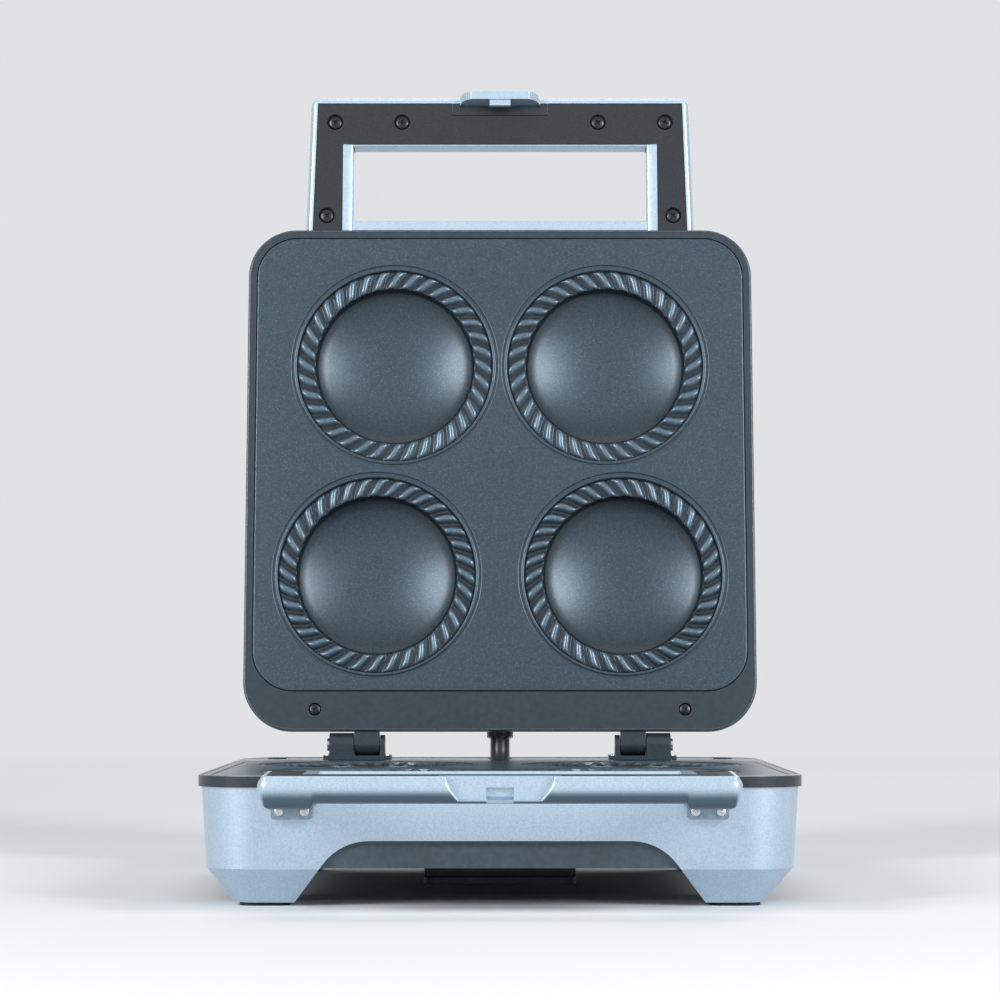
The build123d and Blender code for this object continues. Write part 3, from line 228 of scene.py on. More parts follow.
noises = {
    "driftDetail": 3.0,
    "driftSpan": (0.35, 0.65),  # of the noise, from the darker shade to the lighter
    "rubDetail": 4.0,
    "grainDetail": 2.0,
}


# A finish: colour drifts between two shades over a noise, roughness over another, and a fine grain lifts the
# surface. A second colour is taken where the piece's attribute is 1: painted shade on the lower handle's
# bar, a dark wall behind the latch on the upper one.
def makeFinish(name, look):
    material = bpy.data.materials.new(name)
    material.use_nodes = True
    tree = material.node_tree
    shader = tree.nodes["Principled BSDF"]
    fill(shader, {"Metallic": look.get("metallic", 0.0), "Specular IOR Level": look.get("specular", 0.5),
                  "Coat Weight": look.get("coat", 0.0), "Coat Roughness": look.get("coatRoughness", 0.2)})
    place = addNode(tree, "ShaderNodeTexCoord")
    drift = addNoise(tree, place, look["drift"], noises["driftDetail"])
    shades = addShades(tree, drift, look["shades"], noises["driftSpan"])
    join(tree, shades, "Color", shader, "Base Color")
    # On the lower handle the second colour is painted shade: slate for the dark underside of its bar.
    if "toneColour" in look:
        tone = addNode(tree, "ShaderNodeAttribute", attribute_name="tone")
        both = addNode(tree, "ShaderNodeMix", data_type="RGBA", B=(*look["toneColour"], 1))
        join(tree, tone, "Fac", both, "Factor")
        join(tree, shades, "Color", both, "A")
        join(tree, both, "Result", shader, "Base Color")
    rub = addNoise(tree, place, look["rub"], noises["rubDetail"])
    gloss = addRange(tree, rub, "Fac", target=look["roughness"])
    join(tree, gloss, "Result", shader, "Roughness")
    size, strength, height = look["grain"]
    grain = addNoise(tree, place, size, noises["grainDetail"])
    lift = addNode(tree, "ShaderNodeBump", Strength=strength, Distance=height / 1000)
    join(tree, grain, "Fac", lift, "Height")
    join(tree, lift, "Normal", shader, "Normal")
    return material


# What a nonstick coating adds: paler specks, and painted light by the piece's attribute: painted highlights
# on the rope's crests, painted shade in its valleys and towards each well's edge.
def addSpecks(material, look):
    tree = material.node_tree
    shader = tree.nodes["Principled BSDF"]
    base = shader.inputs["Base Color"].links[0].from_socket
    place = addNode(tree, "ShaderNodeTexCoord")
    specks = addNode(tree, "ShaderNodeTexVoronoi", Scale=1000 / look["speckSize"])
    join(tree, place, "Object", specks, "Vector")
    near = addRange(tree, specks, "Distance", look["speckRange"], (1.0, 0.0))
    mixed = addNode(tree, "ShaderNodeMix", data_type="RGBA", B=(*look["speckColour"], 1))
    join(tree, near, "Result", mixed, "Factor")
    tree.links.new(base, mixed.inputs["A"])
    # Painted light and shade: the attribute scales the colour, lighter on crests, darker in valleys and
    # wells.
    rub = addNode(tree, "ShaderNodeAttribute", attribute_name="rub")
    scale = addRange(tree, rub, "Fac", target=look["rubShade"])
    shaded = addNode(tree, "ShaderNodeMix", data_type="RGBA", blend_type="MULTIPLY", Factor=1.0)
    join(tree, mixed, "Result", shaded, "A")
    join(tree, scale, "Result", shaded, "B")
    join(tree, shaded, "Result", shader, "Base Color")


# Sizes of the drift, the rub and the grain are in mm; a grain has its size, strength and height.
silver = {
    "shades": ((0.41, 0.53, 0.635), (0.5, 0.625, 0.735)), "drift": 0.8, "metallic": 0.7,
    "roughness": (0.32, 0.42), "rub": 25, "grain": (0.35, 0.25, 0.04),
}
clearCoat = {"coat": 0.25, "coatRoughness": 0.15}
plastic = {"drift": 2.5, "rub": 30, "grain": (0.5, 0.4, 0.04)}
lipHighlight = {"drift": 2.0, "rub": 20, "grain": (0.5, 0.2, 0.02)}
lensGloss = {
    "drift": 3, "coat": 0.6, "coatRoughness": 0.05,
    "roughness": (0.12, 0.2), "rub": 5, "grain": (1.5, 0.1, 0.02),
}
finishes = {
    "silverBody": {**silver, **clearCoat},
    "silverPocket": {**silver, "metallic": 0.6, "toneColour": (0.04, 0.046, 0.052)},
    # painted shade: this slate darkens the lower half of the lower handle's bar
    "silverGrip": {**silver, **clearCoat, "toneColour": (0.06, 0.1, 0.135)},
    "darkFrame": {
        **plastic, "shades": ((0.017, 0.03, 0.042), (0.022, 0.037, 0.051)), "roughness": (0.36, 0.46),
        "specular": 0.42,
    },
    "deckGloss": {
        **plastic, "shades": ((0.018, 0.026, 0.032), (0.024, 0.034, 0.042)), "roughness": (0.23, 0.33),
        "grain": (0.6, 0.2, 0.02),
    },
    # painted highlight: the lips are lighter than the frame and the deck, for the light line along their
    # edges
    "frameTrim": {
        **lipHighlight, "shades": ((0.06, 0.08, 0.095), (0.085, 0.105, 0.12)), "roughness": (0.22, 0.32),
        "metallic": 0.3,
    },
    "panSatin": {**plastic, "shades": ((0.05, 0.072, 0.092), (0.064, 0.09, 0.112)), "roughness": (0.4, 0.5)},
    "deckTrim": {
        **lipHighlight, "shades": ((0.2, 0.23, 0.26), (0.26, 0.29, 0.32)), "roughness": (0.25, 0.35),
        "metallic": 0.4,
    },
    "lugSatin": {
        "shades": ((0.2, 0.26, 0.32), (0.25, 0.32, 0.38)), "drift": 1.1, "metallic": 0.5,
        "roughness": (0.3, 0.4), "rub": 12, "grain": (0.35, 0.25, 0.03),
    },
    "darkGrip": {
        "shades": ((0.014, 0.017, 0.021), (0.022, 0.026, 0.031)), "drift": 0.9, "specular": 0.32,
        "roughness": (0.42, 0.55), "rub": 18, "grain": (0.45, 0.7, 0.08),
    },
    "nonstickPlate": {
        "shades": ((0.04, 0.064, 0.086), (0.056, 0.084, 0.108)), "drift": 1.2, "metallic": 0.5,
        "roughness": (0.3, 0.38), "rub": 40, "grain": (0.5, 0.35, 0.05),
        "speckSize": 1.3, "speckRange": (0.1, 0.2), "speckColour": (0.13, 0.17, 0.2),
        # painted light: the colour is scaled from painted shade at the low end to painted highlight at the
        # high end
        "rubShade": (0.22, 2.1),
    },
    "steelTray": {
        "shades": ((0.5, 0.51, 0.52), (0.6, 0.61, 0.62)), "drift": 14, "metallic": 0.9,
        "roughness": (0.25, 0.42), "rub": 9, "grain": (1.2, 0.3, 0.05),
    },
    "elementSheath": {
        "shades": ((0.11, 0.12, 0.115), (0.17, 0.165, 0.15)), "drift": 7, "metallic": 0.7,
        "roughness": (0.38, 0.55), "rub": 5, "grain": (0.4, 0.4, 0.04),
    },
    "steelFastener": {
        "shades": ((0.56, 0.57, 0.58), (0.66, 0.67, 0.68)), "drift": 1.6, "metallic": 0.95,
        "roughness": (0.2, 0.34), "rub": 3, "grain": (0.3, 0.2, 0.02),
    },
    "darkFastener": {
        "shades": ((0.022, 0.025, 0.029), (0.036, 0.039, 0.043)), "drift": 1.2, "metallic": 0.6,
        "roughness": (0.24, 0.36), "rub": 3, "grain": (0.3, 0.25, 0.02),
    },
    "conduitRubber": {
        "shades": ((0.024, 0.03, 0.035), (0.034, 0.041, 0.047)), "drift": 3, "specular": 0.6,
        "roughness": (0.26, 0.38), "rub": 8, "grain": (0.5, 0.35, 0.03),
    },
    "rubber": {
        "shades": ((0.014, 0.015, 0.016), (0.024, 0.025, 0.026)), "drift": 2, "specular": 0.35,
        "roughness": (0.62, 0.8), "rub": 6, "grain": (0.5, 0.7, 0.08),
    },
    "lensRed": {**lensGloss, "shades": ((0.42, 0.012, 0.01), (0.52, 0.02, 0.015))},
    "lensGreen": {**lensGloss, "shades": ((0.01, 0.26, 0.05), (0.016, 0.34, 0.075))},
    "board": {
        "shades": ((0.015, 0.09, 0.035), (0.024, 0.13, 0.05)), "drift": 4,
        "roughness": (0.3, 0.45), "rub": 5, "grain": (0.8, 0.4, 0.05),
    },
    "lamp": {
        "shades": ((0.62, 0.6, 0.55), (0.74, 0.72, 0.67)), "drift": 2, "coat": 0.4, "coatRoughness": 0.08,
        "roughness": (0.15, 0.25), "rub": 4, "grain": (0.8, 0.15, 0.02),
    },
    "lead": {
        "shades": ((0.5, 0.49, 0.45), (0.62, 0.6, 0.56)), "drift": 3,
        "roughness": (0.45, 0.6), "rub": 6, "grain": (0.35, 0.6, 0.06),
    },
}
made = {name: makeFinish(name, look) for name, look in finishes.items()}
addSpecks(made["nonstickPlate"], finishes["nonstickPlate"])
print("finishes made")


# The finish that belongs to a material slot: the slot's words run together.
def finishOf(slot):
    first, *others = slot.split("_")
    return made[first + "".join(word.capitalize() for word in others)]


# Baking plates. Each well has a patch of rings about its centre, which stretch out to its quarter of the
# plate. Depth below the face is the well's profile, a rope of slanted beads in the crimped ring, a fine
# groove, and a quarter round at the plate's own edge.
plate = {
    "halfWidth": 127.5, "front": 4.5, "rear": 244.5, "corner": 21.0, "flange": 4.0,
    "wells": ((-55.0, 73.0), (55.0, 73.0), (-63.7, 184.0), (63.7, 184.0)),
    "split": 128.5,  # between the front and rear quarters
    "perSide": 126,
    "wellRadius": 41.5, "ropeRadius": 51.0, "ropeDepth": 2.0, "ropeBeads": 36, "ropeRows": 15,
    "ropeLean": 7.5,  # degrees that a bead turns from its inner to its outer end
    "crestHalf": 0.37,  # half a bead's width, as a share of its pitch
    "crestPower": 0.9,
    "crestUnder": 0.08,  # the beads' crests stay this far under the face
    "crestRub": (1.1, 1.2),  # painted highlight on a bead: this much times its height to this power
    "ridgeHalf": 0.1, "ridgeRise": 0.3,
    "groove": ((51.05, 1.9), (51.15, 0.6), (51.4, 0.12), (51.9, 0), (52.6, 0.02), (52.82, 0.25), (53.0, 0.8),
               (53.8, 0.8), (53.98, 0.25), (54.2, 0.02), (54.6, 0)),  # (radius, depth) outside the rope
    "wear": {"from": 18.0, "over": 23.0, "power": 1.4, "drop": 0.3},  # painted shade: a well's colour darkens outwards
    "edge": 0.7,
    "edgeRows": (1.2, 0.7, 0.35, 0.1, 0.0),  # mm short of the plate's outline
    "shortRun": (0.3, 20),  # a row takes at most this share of its run, and its mm over this
    "postSpots": ((-100.0, 124.5), (100.0, 124.5), (0.0, 30.0), (0.0, 222.0)),
    "post": {"radius": 4, "sunk": 0.2, "beyond": 4, "steps": 20},
    "postHole": {"radius": 1.5, "floor": 2.5},
    "lowerWell": ((0, 28), (14, 28), (34, 28), (41.33, 2.6)),  # corners as (radius, depth)
    "lowerWellRounds": (0, 6), "lowerWellRim": ((41.42, 2.3), (41.5, 2)),
    "lowerBack": ((0, 30.5), (36.5, 30.5), (44, 4)), "lowerBackRounds": (8,), "lowerRise": 28.7,
    "upperWell": {"edge": 40.5, "rimDepth": 6, "depth": 14, "rim": 41.5, "top": 2, "rows": 9},
    "upperBack": {"edge": 43, "rimDepth": 8.5, "depth": 16.5, "rim": 44, "top": 4, "rows": 5},
    "upperRise": 15.0,
    "domeShort": 0.4,  # the cap stops this far inside its edge
    "rimFoot": ((0, -0.25), (0.3, -1.2)),  # the steep rim, by shifts from its foot and its top
    "rimTop": ((-0.08, 0.6), (-0.04, 0.3), (0, 0)),
}
ropeMiddle = (plate["wellRadius"] + plate["ropeRadius"]) / 2
ropeHalf = (plate["ropeRadius"] - plate["wellRadius"]) / 2


# Shallow dome: depth is a ball's cap, deepest in the middle, then the steep rim.
def domeProfile(edge, rimDepth, depth, rim, top, rows):
    rise = depth - rimDepth
    ball = (edge**2 + rise**2) / (2 * rise)
    radius = np.linspace(0, edge - plate["domeShort"], rows)
    cap = np.stack([radius, depth - ball + np.sqrt(ball**2 - radius**2)], axis=1)
    foot = np.array([edge, rimDepth]) + plate["rimFoot"]
    return np.vstack([cap, foot, np.array([rim, top]) + plate["rimTop"]])


# The quarter's outline: four straight sides in equal steps, the plate's own corner pulled on to its arc.
def quarterOutline(side, rear):
    outer = plate["rear"] if rear else plate["front"]
    x = side * plate["halfWidth"]
    split = plate["split"]
    corners = np.array([(0, split), (0, outer), (x, outer), (x, split), (0, split)])
    share = np.linspace(0, 1, plate["perSide"], endpoint=False)[:, None]
    outline = np.concatenate([a + (b - a) * share for a, b in zip(corners[:-1], corners[1:])])
    radius = plate["corner"]
    centre = np.array([x - side * radius, outer + (-radius if rear else radius)])
    away = outline - centre
    beyond = (away[:, 0] * side > 0) & (away[:, 1] * (1 if rear else -1) > 0)
    length = np.linalg.norm(away, axis=1, keepdims=True)
    return np.where(beyond[:, None], centre + away * radius / length, outline), corners


# How far a point is inside the plate's rounded outline.
def insidePlate(points):
    radius = plate["corner"]
    middle = (plate["front"] + plate["rear"]) / 2
    dx = np.abs(points[..., 0]) - (plate["halfWidth"] - radius)
    dy = np.abs(points[..., 1] - middle) - ((plate["rear"] - plate["front"]) / 2 - radius)
    outside = np.sqrt(np.maximum(dx, 0) ** 2 + np.maximum(dy, 0) ** 2) + np.minimum(np.maximum(dx, dy), 0)
    return radius - outside


# Height of the rope's beads, 0 to 1: a cosine to a power across each, a low ridge between two, round ends.
def ropeBead(radius, angle, side):
    along = (radius - ropeMiddle) / ropeHalf
    lean = math.radians(plate["ropeLean"]) / 2 * along * -side
    turns = (angle - lean) * plate["ropeBeads"] / (2 * math.pi)
    phase = turns - np.round(turns)
    crest = np.cos(np.clip(phase / plate["crestHalf"], -1, 1) * math.pi / 2) ** plate["crestPower"]
    behind = np.abs(phase - np.round(phase - 0.5) - 0.5)
    ridge = plate["ridgeRise"] * np.cos(np.clip(behind / plate["ridgeHalf"], 0, 1) * math.pi / 2) ** 2
    return np.maximum(crest, ridge) * np.sqrt(np.maximum(1 - np.abs(along) ** 4, 0))


# One plate, from its wells' (radius, depth) profiles in front and behind. A height is the face's less way
# times depth, and way is 1 where the face looks up, -1 where it looks down. Posts stand on the back.
def makePlate(name, well, back, rise, face, way, body, stands):
    place = places[body]
    groove = np.array(plate["groove"])
    ropeRings = ropeMiddle - ropeHalf * np.cos(np.linspace(0, math.pi, plate["ropeRows"]))
    crestRub, paintedCrestPower = plate["crestRub"]
    runShare, runOver = plate["shortRun"]
    wear, plain, perSide = plate["wear"], meshing["plainValue"], plate["perSide"]
    patches = []
    for centre in np.array(plate["wells"]):
        side = np.sign(centre[0])
        outline, corners = quarterOutline(side, centre[1] > plate["split"])
        x, y = (corners - centre).T
        turn = np.unwrap(np.arctan2(y, x))
        share = np.linspace(0, 1, perSide, endpoint=False)
        angle = np.concatenate([a + (b - a) * share for a, b in zip(turn[:-1], turn[1:])])
        radius = np.concatenate([well[:, 0], ropeRings[1:], groove[:, 0]])
        depth = np.concatenate([well[:, 1], np.full(len(ropeRings) - 1, plate["ropeDepth"]), groove[:, 1]])
        inRope = ((radius >= plate["wellRadius"]) & (radius <= plate["ropeRadius"]))[:, None]
        bead = np.where(inRope, ropeBead(radius[:, None], angle[None, :], side), 0)
        ring = np.stack([np.cos(angle), np.sin(angle)], axis=-1)
        rings = centre + radius[:, None, None] * ring
        deep = depth[:, None] - bead * (plate["ropeDepth"] - plate["crestUnder"])
        # Painted shade darkens each well towards its edge; painted highlights lighten the rope's crests.
        paintedShadeShare = np.clip((radius - wear["from"]) / wear["over"], 0, 1) ** wear["power"]
        paintedShadeShare = np.where(radius <= plate["wellRadius"], paintedShadeShare, 0)[:, None]
        rub = np.where(inRope, crestRub * bead**paintedCrestPower, plain - wear["drop"] * paintedShadeShare)
        reach = outline - rings[-1]
        length = np.linalg.norm(reach, axis=1)
        shares = [np.full(len(length), 0.5)]
        shares += [1 - np.minimum(short / length, runShare + short / runOver) for short in plate["edgeRows"]]
        outer = rings[-1] + np.stack(shares)[..., None] * reach
        near = np.maximum(plate["edge"] - insidePlate(outer), 0)
        outerDeep = plate["edge"] - np.sqrt(np.maximum(plate["edge"] ** 2 - near**2, 0))
        deep = np.vstack([deep, outerDeep])
        rub = np.vstack([rub, np.full(near.shape, plain)])
        points = np.dstack([np.concatenate([rings, outer]), face - way * deep])
        patches.append(patch(place(points), closeColumns=True, values=rub))
        behind = np.concatenate([centre + back[:, 0, None, None] * ring, outline[None]])
        backDeep = np.append(back[:, 1], plate["flange"])[:, None] + np.zeros(len(angle))
        patches.append(patch(place(np.dstack([behind, face - way * backDeep])), closeColumns=True))
        wall = slice(perSide, 3 * perSide + 1)
        ends = np.stack([deep[-1][wall], np.full(2 * perSide + 1, plate["flange"])])
        patches.append(patch(place(np.dstack([np.stack([outline[wall]] * 2), face - way * ends]))))
    post, hole = plate["post"], plate["postHole"]
    root = -plate["flange"] + post["sunk"]
    end = -post["beyond"] - rise
    floor = hole["floor"] - rise
    profile = np.array([(0, root), (post["radius"], root), (post["radius"], end), (hole["radius"], end),
                        (hole["radius"], floor), (0, floor)])
    for x, y in plate["postSpots"]:
        patches.append(turned(profile, (x, y, face), (0, 0, way), post["steps"], body))
    makePiece(name, patches, finishOf("nonstick_plate"), body, stands, 50, "rub")


makePlate("upperPlate", domeProfile(**plate["upperWell"]), domeProfile(**plate["upperBack"]),
          plate["upperRise"], layout["lidBottom"], -1, "lid", ("upper_baking_plate",))
lowerWell = np.vstack([rounded(plate["lowerWell"], plate["lowerWellRounds"]), plate["lowerWellRim"]])
lowerBack = rounded(plate["lowerBack"], plate["lowerBackRounds"])
makePlate("lowerPlate", lowerWell, lowerBack,
          plate["lowerRise"], layout["deckTop"], 1, "base", ("lower_baking_plate",))


# Handles. A loop in plan, in stations from the right arm's root round the bar to the left arm's. At each one
# both outlines are inset by what a closed profile asks, so rims stay parallel round the corners. The lower
# handle is drawn, and the upper one is the same turned over in height.
handle = {
    "reach": 74.0, "rootHalf": 102.5, "endHalf": 100.25, "armInner": 77.7, "barInner": -46.5,
    "top": 59.5, "bottom": 48.0, "corner": 4.0, "leastCorner": 0.35,
    "armExtra": 2.4,  # the arms' undersides lie lower by this
    "armExtraFrom": 54.0,
    "outerRim": 3.6, "armRim": 5.5, "barRim": 1.0, "pocket": 5.0, "centreRim": 10.2, "centreEnd": 25.3,
    "openingDrift": 0.7, "openingBow": 0.35,
    "crown": 1.3,  # how far the bar's face leans back at its top edge
    "belly": 4.6,  # and how far it has rolled under at its bottom
    "bellyShare": 0.98,  # of a quarter round
    "faceRise": 4.2,  # from the face's foremost line to the top
    "faceTop": 1.0,  # from the face's end to the top
    "faceRows": (6, 12),  # above and below the foremost line
    "topRound": ((1.2, 0.0), (0.5, 0.15), (0.12, 0.5)),  # (inset behind the crown, drop)
    "footInsets": (0.6, 3.0),  # behind the belly
    "innerFoot": ((1.6, 0), (0.45, 0.45), (0, 1.6)),  # (inset, rise)
    "innerTop": ((0, 1.0), (0.3, 0.3), (0.9, 0)),  # (inset, drop)
    "toneFade": (54.7, 50.9),  # between these heights painted shade turns the lower handle from silver to slate
    "toneTurn": (0.35, 0.4),  # the painted shade comes in from and over these shares of the corner
    "lip": 0.35,  # the light line under the lower recess
    "lipFade": 0.15, "toneEdge": 0.1,
    "edgeGap": 0.02,  # rows this far above and below an edge
    "armSteps": 7, "turnSteps": 9, "endStations": (92, 85, 78.6, 77.9), "endGap": 0.5,
    "barStations": (77.3, 60, 42, 30, 25.6, 25.2), "middleStations": (9, 6.0, 5.7, 5.6, 3, 0),
    "floorStations": (1.0, 0.66, 0.33), "floorHalf": 9,
    "straightHalf": 21.4, "flapHeights": (48.7, 59.0), "flapBow": 5.75, "flapPower": 1.75,
    "flapHalf": 16.35,  # at the foot
    "roundOut": (0, 0.12, 0.45, 1.1),  # steps of the rounding at the recess, outwards ...
    "roundBack": (0.9, 0.45, 0.12, 0.0),  # ... and back
    "windowBack": 0.25, "windowTop": 54.7, "rampTop": 50.9,
    "rim": {"height": 52.1, "above": -1.55, "below": 0.25},
    "cover": {"height": 64, "slope": 0.1228, "gap": -0.05},
    "strip": {"half": 77.9, "front": -7.4, "back": -1.7, "low": 53.5, "high": 59.5,
              "rounds": (1.0, 0.4, 0.8, 1.2), "steps": 3, "upperShift": 1.5},
    "lowerRecess": {"depth": 4.8, "low": 49.5, "window": 5.6, "ramp": 2.75, "shape": "flap"},
    "upperRecess": {"depth": 6.0, "low": 49.7, "window": 0.0, "ramp": 0.0, "shape": "straight"},
}


# Half width of the latch's recess at a height. The flap's widens from foot to top by one less a power of the
# share that is left.
def recessHalf(height, shape):
    if shape == "straight":
        return handle["straightHalf"]
    low, high = handle["flapHeights"]
    share = np.clip((height - low) / (high - low), 0, 1)
    return handle["flapHalf"] + handle["flapBow"] * (1 - (1 - share) ** handle["flapPower"])


# Stations of the right half: their kinds, and their places as shares of the arm, the corner's turn or the
# recess's floor, as mm from the middle along the bar, or as steps of the rounding at the recess.
def handleStations():
    runs = {
        "arm": np.linspace(0, 1, handle["armSteps"]),
        "turn": np.linspace(0, 1, handle["turnSteps"])[1:],
        "end": handle["endStations"],
        "bar": handle["barStations"],
        "round": (3, 2, 1, 0),
        "floor": handle["floorStations"],
        "middle": handle["middleStations"],
    }
    return np.repeat(list(runs), [len(run) for run in runs.values()]), np.concatenate(list(runs.values()))


# Outer outline inset by some mm at every station, at one height of the profile.
def outerLine(inset, height, stations, recess, frontFace):
    kind, at = stations
    slope = (handle["rootHalf"] - handle["endHalf"]) / handle["reach"]
    radius = max(handle["corner"] - inset, handle["leastCorner"])
    front = -handle["reach"] + inset
    cornerX = handle["endHalf"] + slope * inset - inset
    armY = front + radius
    bend = at * math.pi / 2
    step = np.clip(at, 0, 3).astype(int)
    half = recessHalf(height, recess["shape"])
    y = np.select([kind == "arm", kind == "turn"], [armY * at, armY - radius * np.sin(bend)], front)
    byKind = {
        "arm": handle["rootHalf"] - inset + slope * y,
        "turn": cornerX - radius + radius * np.cos(bend),
        "end": np.minimum(at, cornerX - radius - handle["endGap"]),
        "round": half + np.array(handle["roundOut"])[step],
        "floor": handle["floorHalf"] + (half - handle["floorHalf"]) * at,
    }
    x = np.select([kind == name for name in byKind], list(byKind.values()), at)
    if frontFace:
        y = np.where(kind == "round", y + np.array(handle["roundBack"])[step], y)
    if frontFace and height >= recess["low"]:
        deep = -handle["reach"] + recess["depth"]
        share = np.clip((handle["rampTop"] - height) / (handle["rampTop"] - recess["low"]), 0, 1)
        inWindow = (kind == "middle") & (at <= recess["window"]) & (height <= handle["windowTop"])
        y = np.where(np.isin(kind, ("floor", "middle")), max(deep, front), y)
        y = np.where(inWindow, deep + recess["ramp"] * (1 - share) + handle["windowBack"], y)
    return x, y


# Inner outline, the finger opening's side, moved into the arms by one inset and the bar by another. Round
# the corner it drifts in by equal steps and bows by a sine.
def innerLine(inset, barInset, stations, outerX):
    kind, at = stations
    x, y = handle["armInner"] + inset, handle["barInner"] - barInset
    arm = kind == "arm"
    end = np.isin(kind, ("turn", "end"))
    soft = np.cumsum(end) / np.sum(end)
    lineX = np.select([arm, end], [x, x - handle["openingDrift"] * soft], outerX)
    lineY = np.select([arm, end], [y * at, y - handle["openingBow"] * np.sin(soft * math.pi)], y)
    return np.minimum(lineX, x), lineY


# Where an arm's root ends: at the deck's rim or, under it, the base's wall. The upper handle's ends at the
# lid frame or at the cover's wall, which leans back by its slope.
def rootEnd(height, upper):
    if upper:
        cover = handle["cover"]
        outside = 2 * layout["mirrorHeight"] - height
        return cover["slope"] * np.maximum(outside - cover["height"], 0) + cover["gap"]
    return np.where(height > handle["rim"]["height"], handle["rim"]["above"], handle["rim"]["below"])


# How far the bar's face leans back: the square of the rise above its foremost line, a round's drop below it.
def faceInset(height):
    middle = handle["top"] - handle["faceRise"]
    above = (height - middle) / (handle["top"] - handle["faceTop"] - middle)
    below = np.clip(handle["bellyShare"] * (middle - height) / (middle - handle["bottom"]), 0, 1)
    leaning = handle["crown"] * above**2
    rolled = handle["belly"] * (1 - math.sqrt(1 - below**2))
    return float(leaning if height > middle else rolled)


# Rows of the closed profile: line, inset, height, whether on the front face, and the inset and tone at the
# latch's wall. They go round by the top rim, the outer side, the underside, the inner side and the pocket.
def handleRows(recess):
    top, bottom, rim = handle["top"], handle["bottom"], handle["outerRim"]
    middle = top - handle["faceRise"]
    floor = top - handle["pocket"]
    aboveRows, belowRows = handle["faceRows"]
    low, lipEnd = recess["low"], recess["low"] - handle["lip"]
    heights = np.concatenate([
        np.linspace(top - handle["faceTop"], middle, aboveRows),
        np.linspace(middle, bottom, belowRows)[1:-1],
        [edge + side * handle["edgeGap"] for edge in (handle["windowTop"], low) for side in (1, -1)],
        [handle["rampTop"], lipEnd, lipEnd - handle["lipFade"]]])
    walls = ((handle["centreRim"], 1), (rim + handle["toneEdge"], 1), (rim, 0))
    outer = [(rim, top, False, inset, tone) for inset, tone in walls]
    outer += [(handle["crown"] + more, top - down, False, None, 0) for more, down in handle["topRound"]]
    outer += [(faceInset(height), float(height), True, None, 0) for height in np.sort(heights)[::-1]]
    outer += [(handle["belly"] + more, bottom, False, None, 0) for more in handle["footInsets"]]
    inner = [(inset, bottom + up) for inset, up in handle["innerFoot"]]
    inner += [(inset, top - down) for inset, down in handle["innerTop"]]
    rows = [("outer", *row) for row in outer]
    rows += [("inner", inset, height, False, None, 0) for inset, height in inner]
    rows += [("rim", 0, top, False, None, 0), ("rim", 0, floor, False, None, 0)]
    return rows + [("outer", rim, floor, False, handle["centreRim"], 1)]


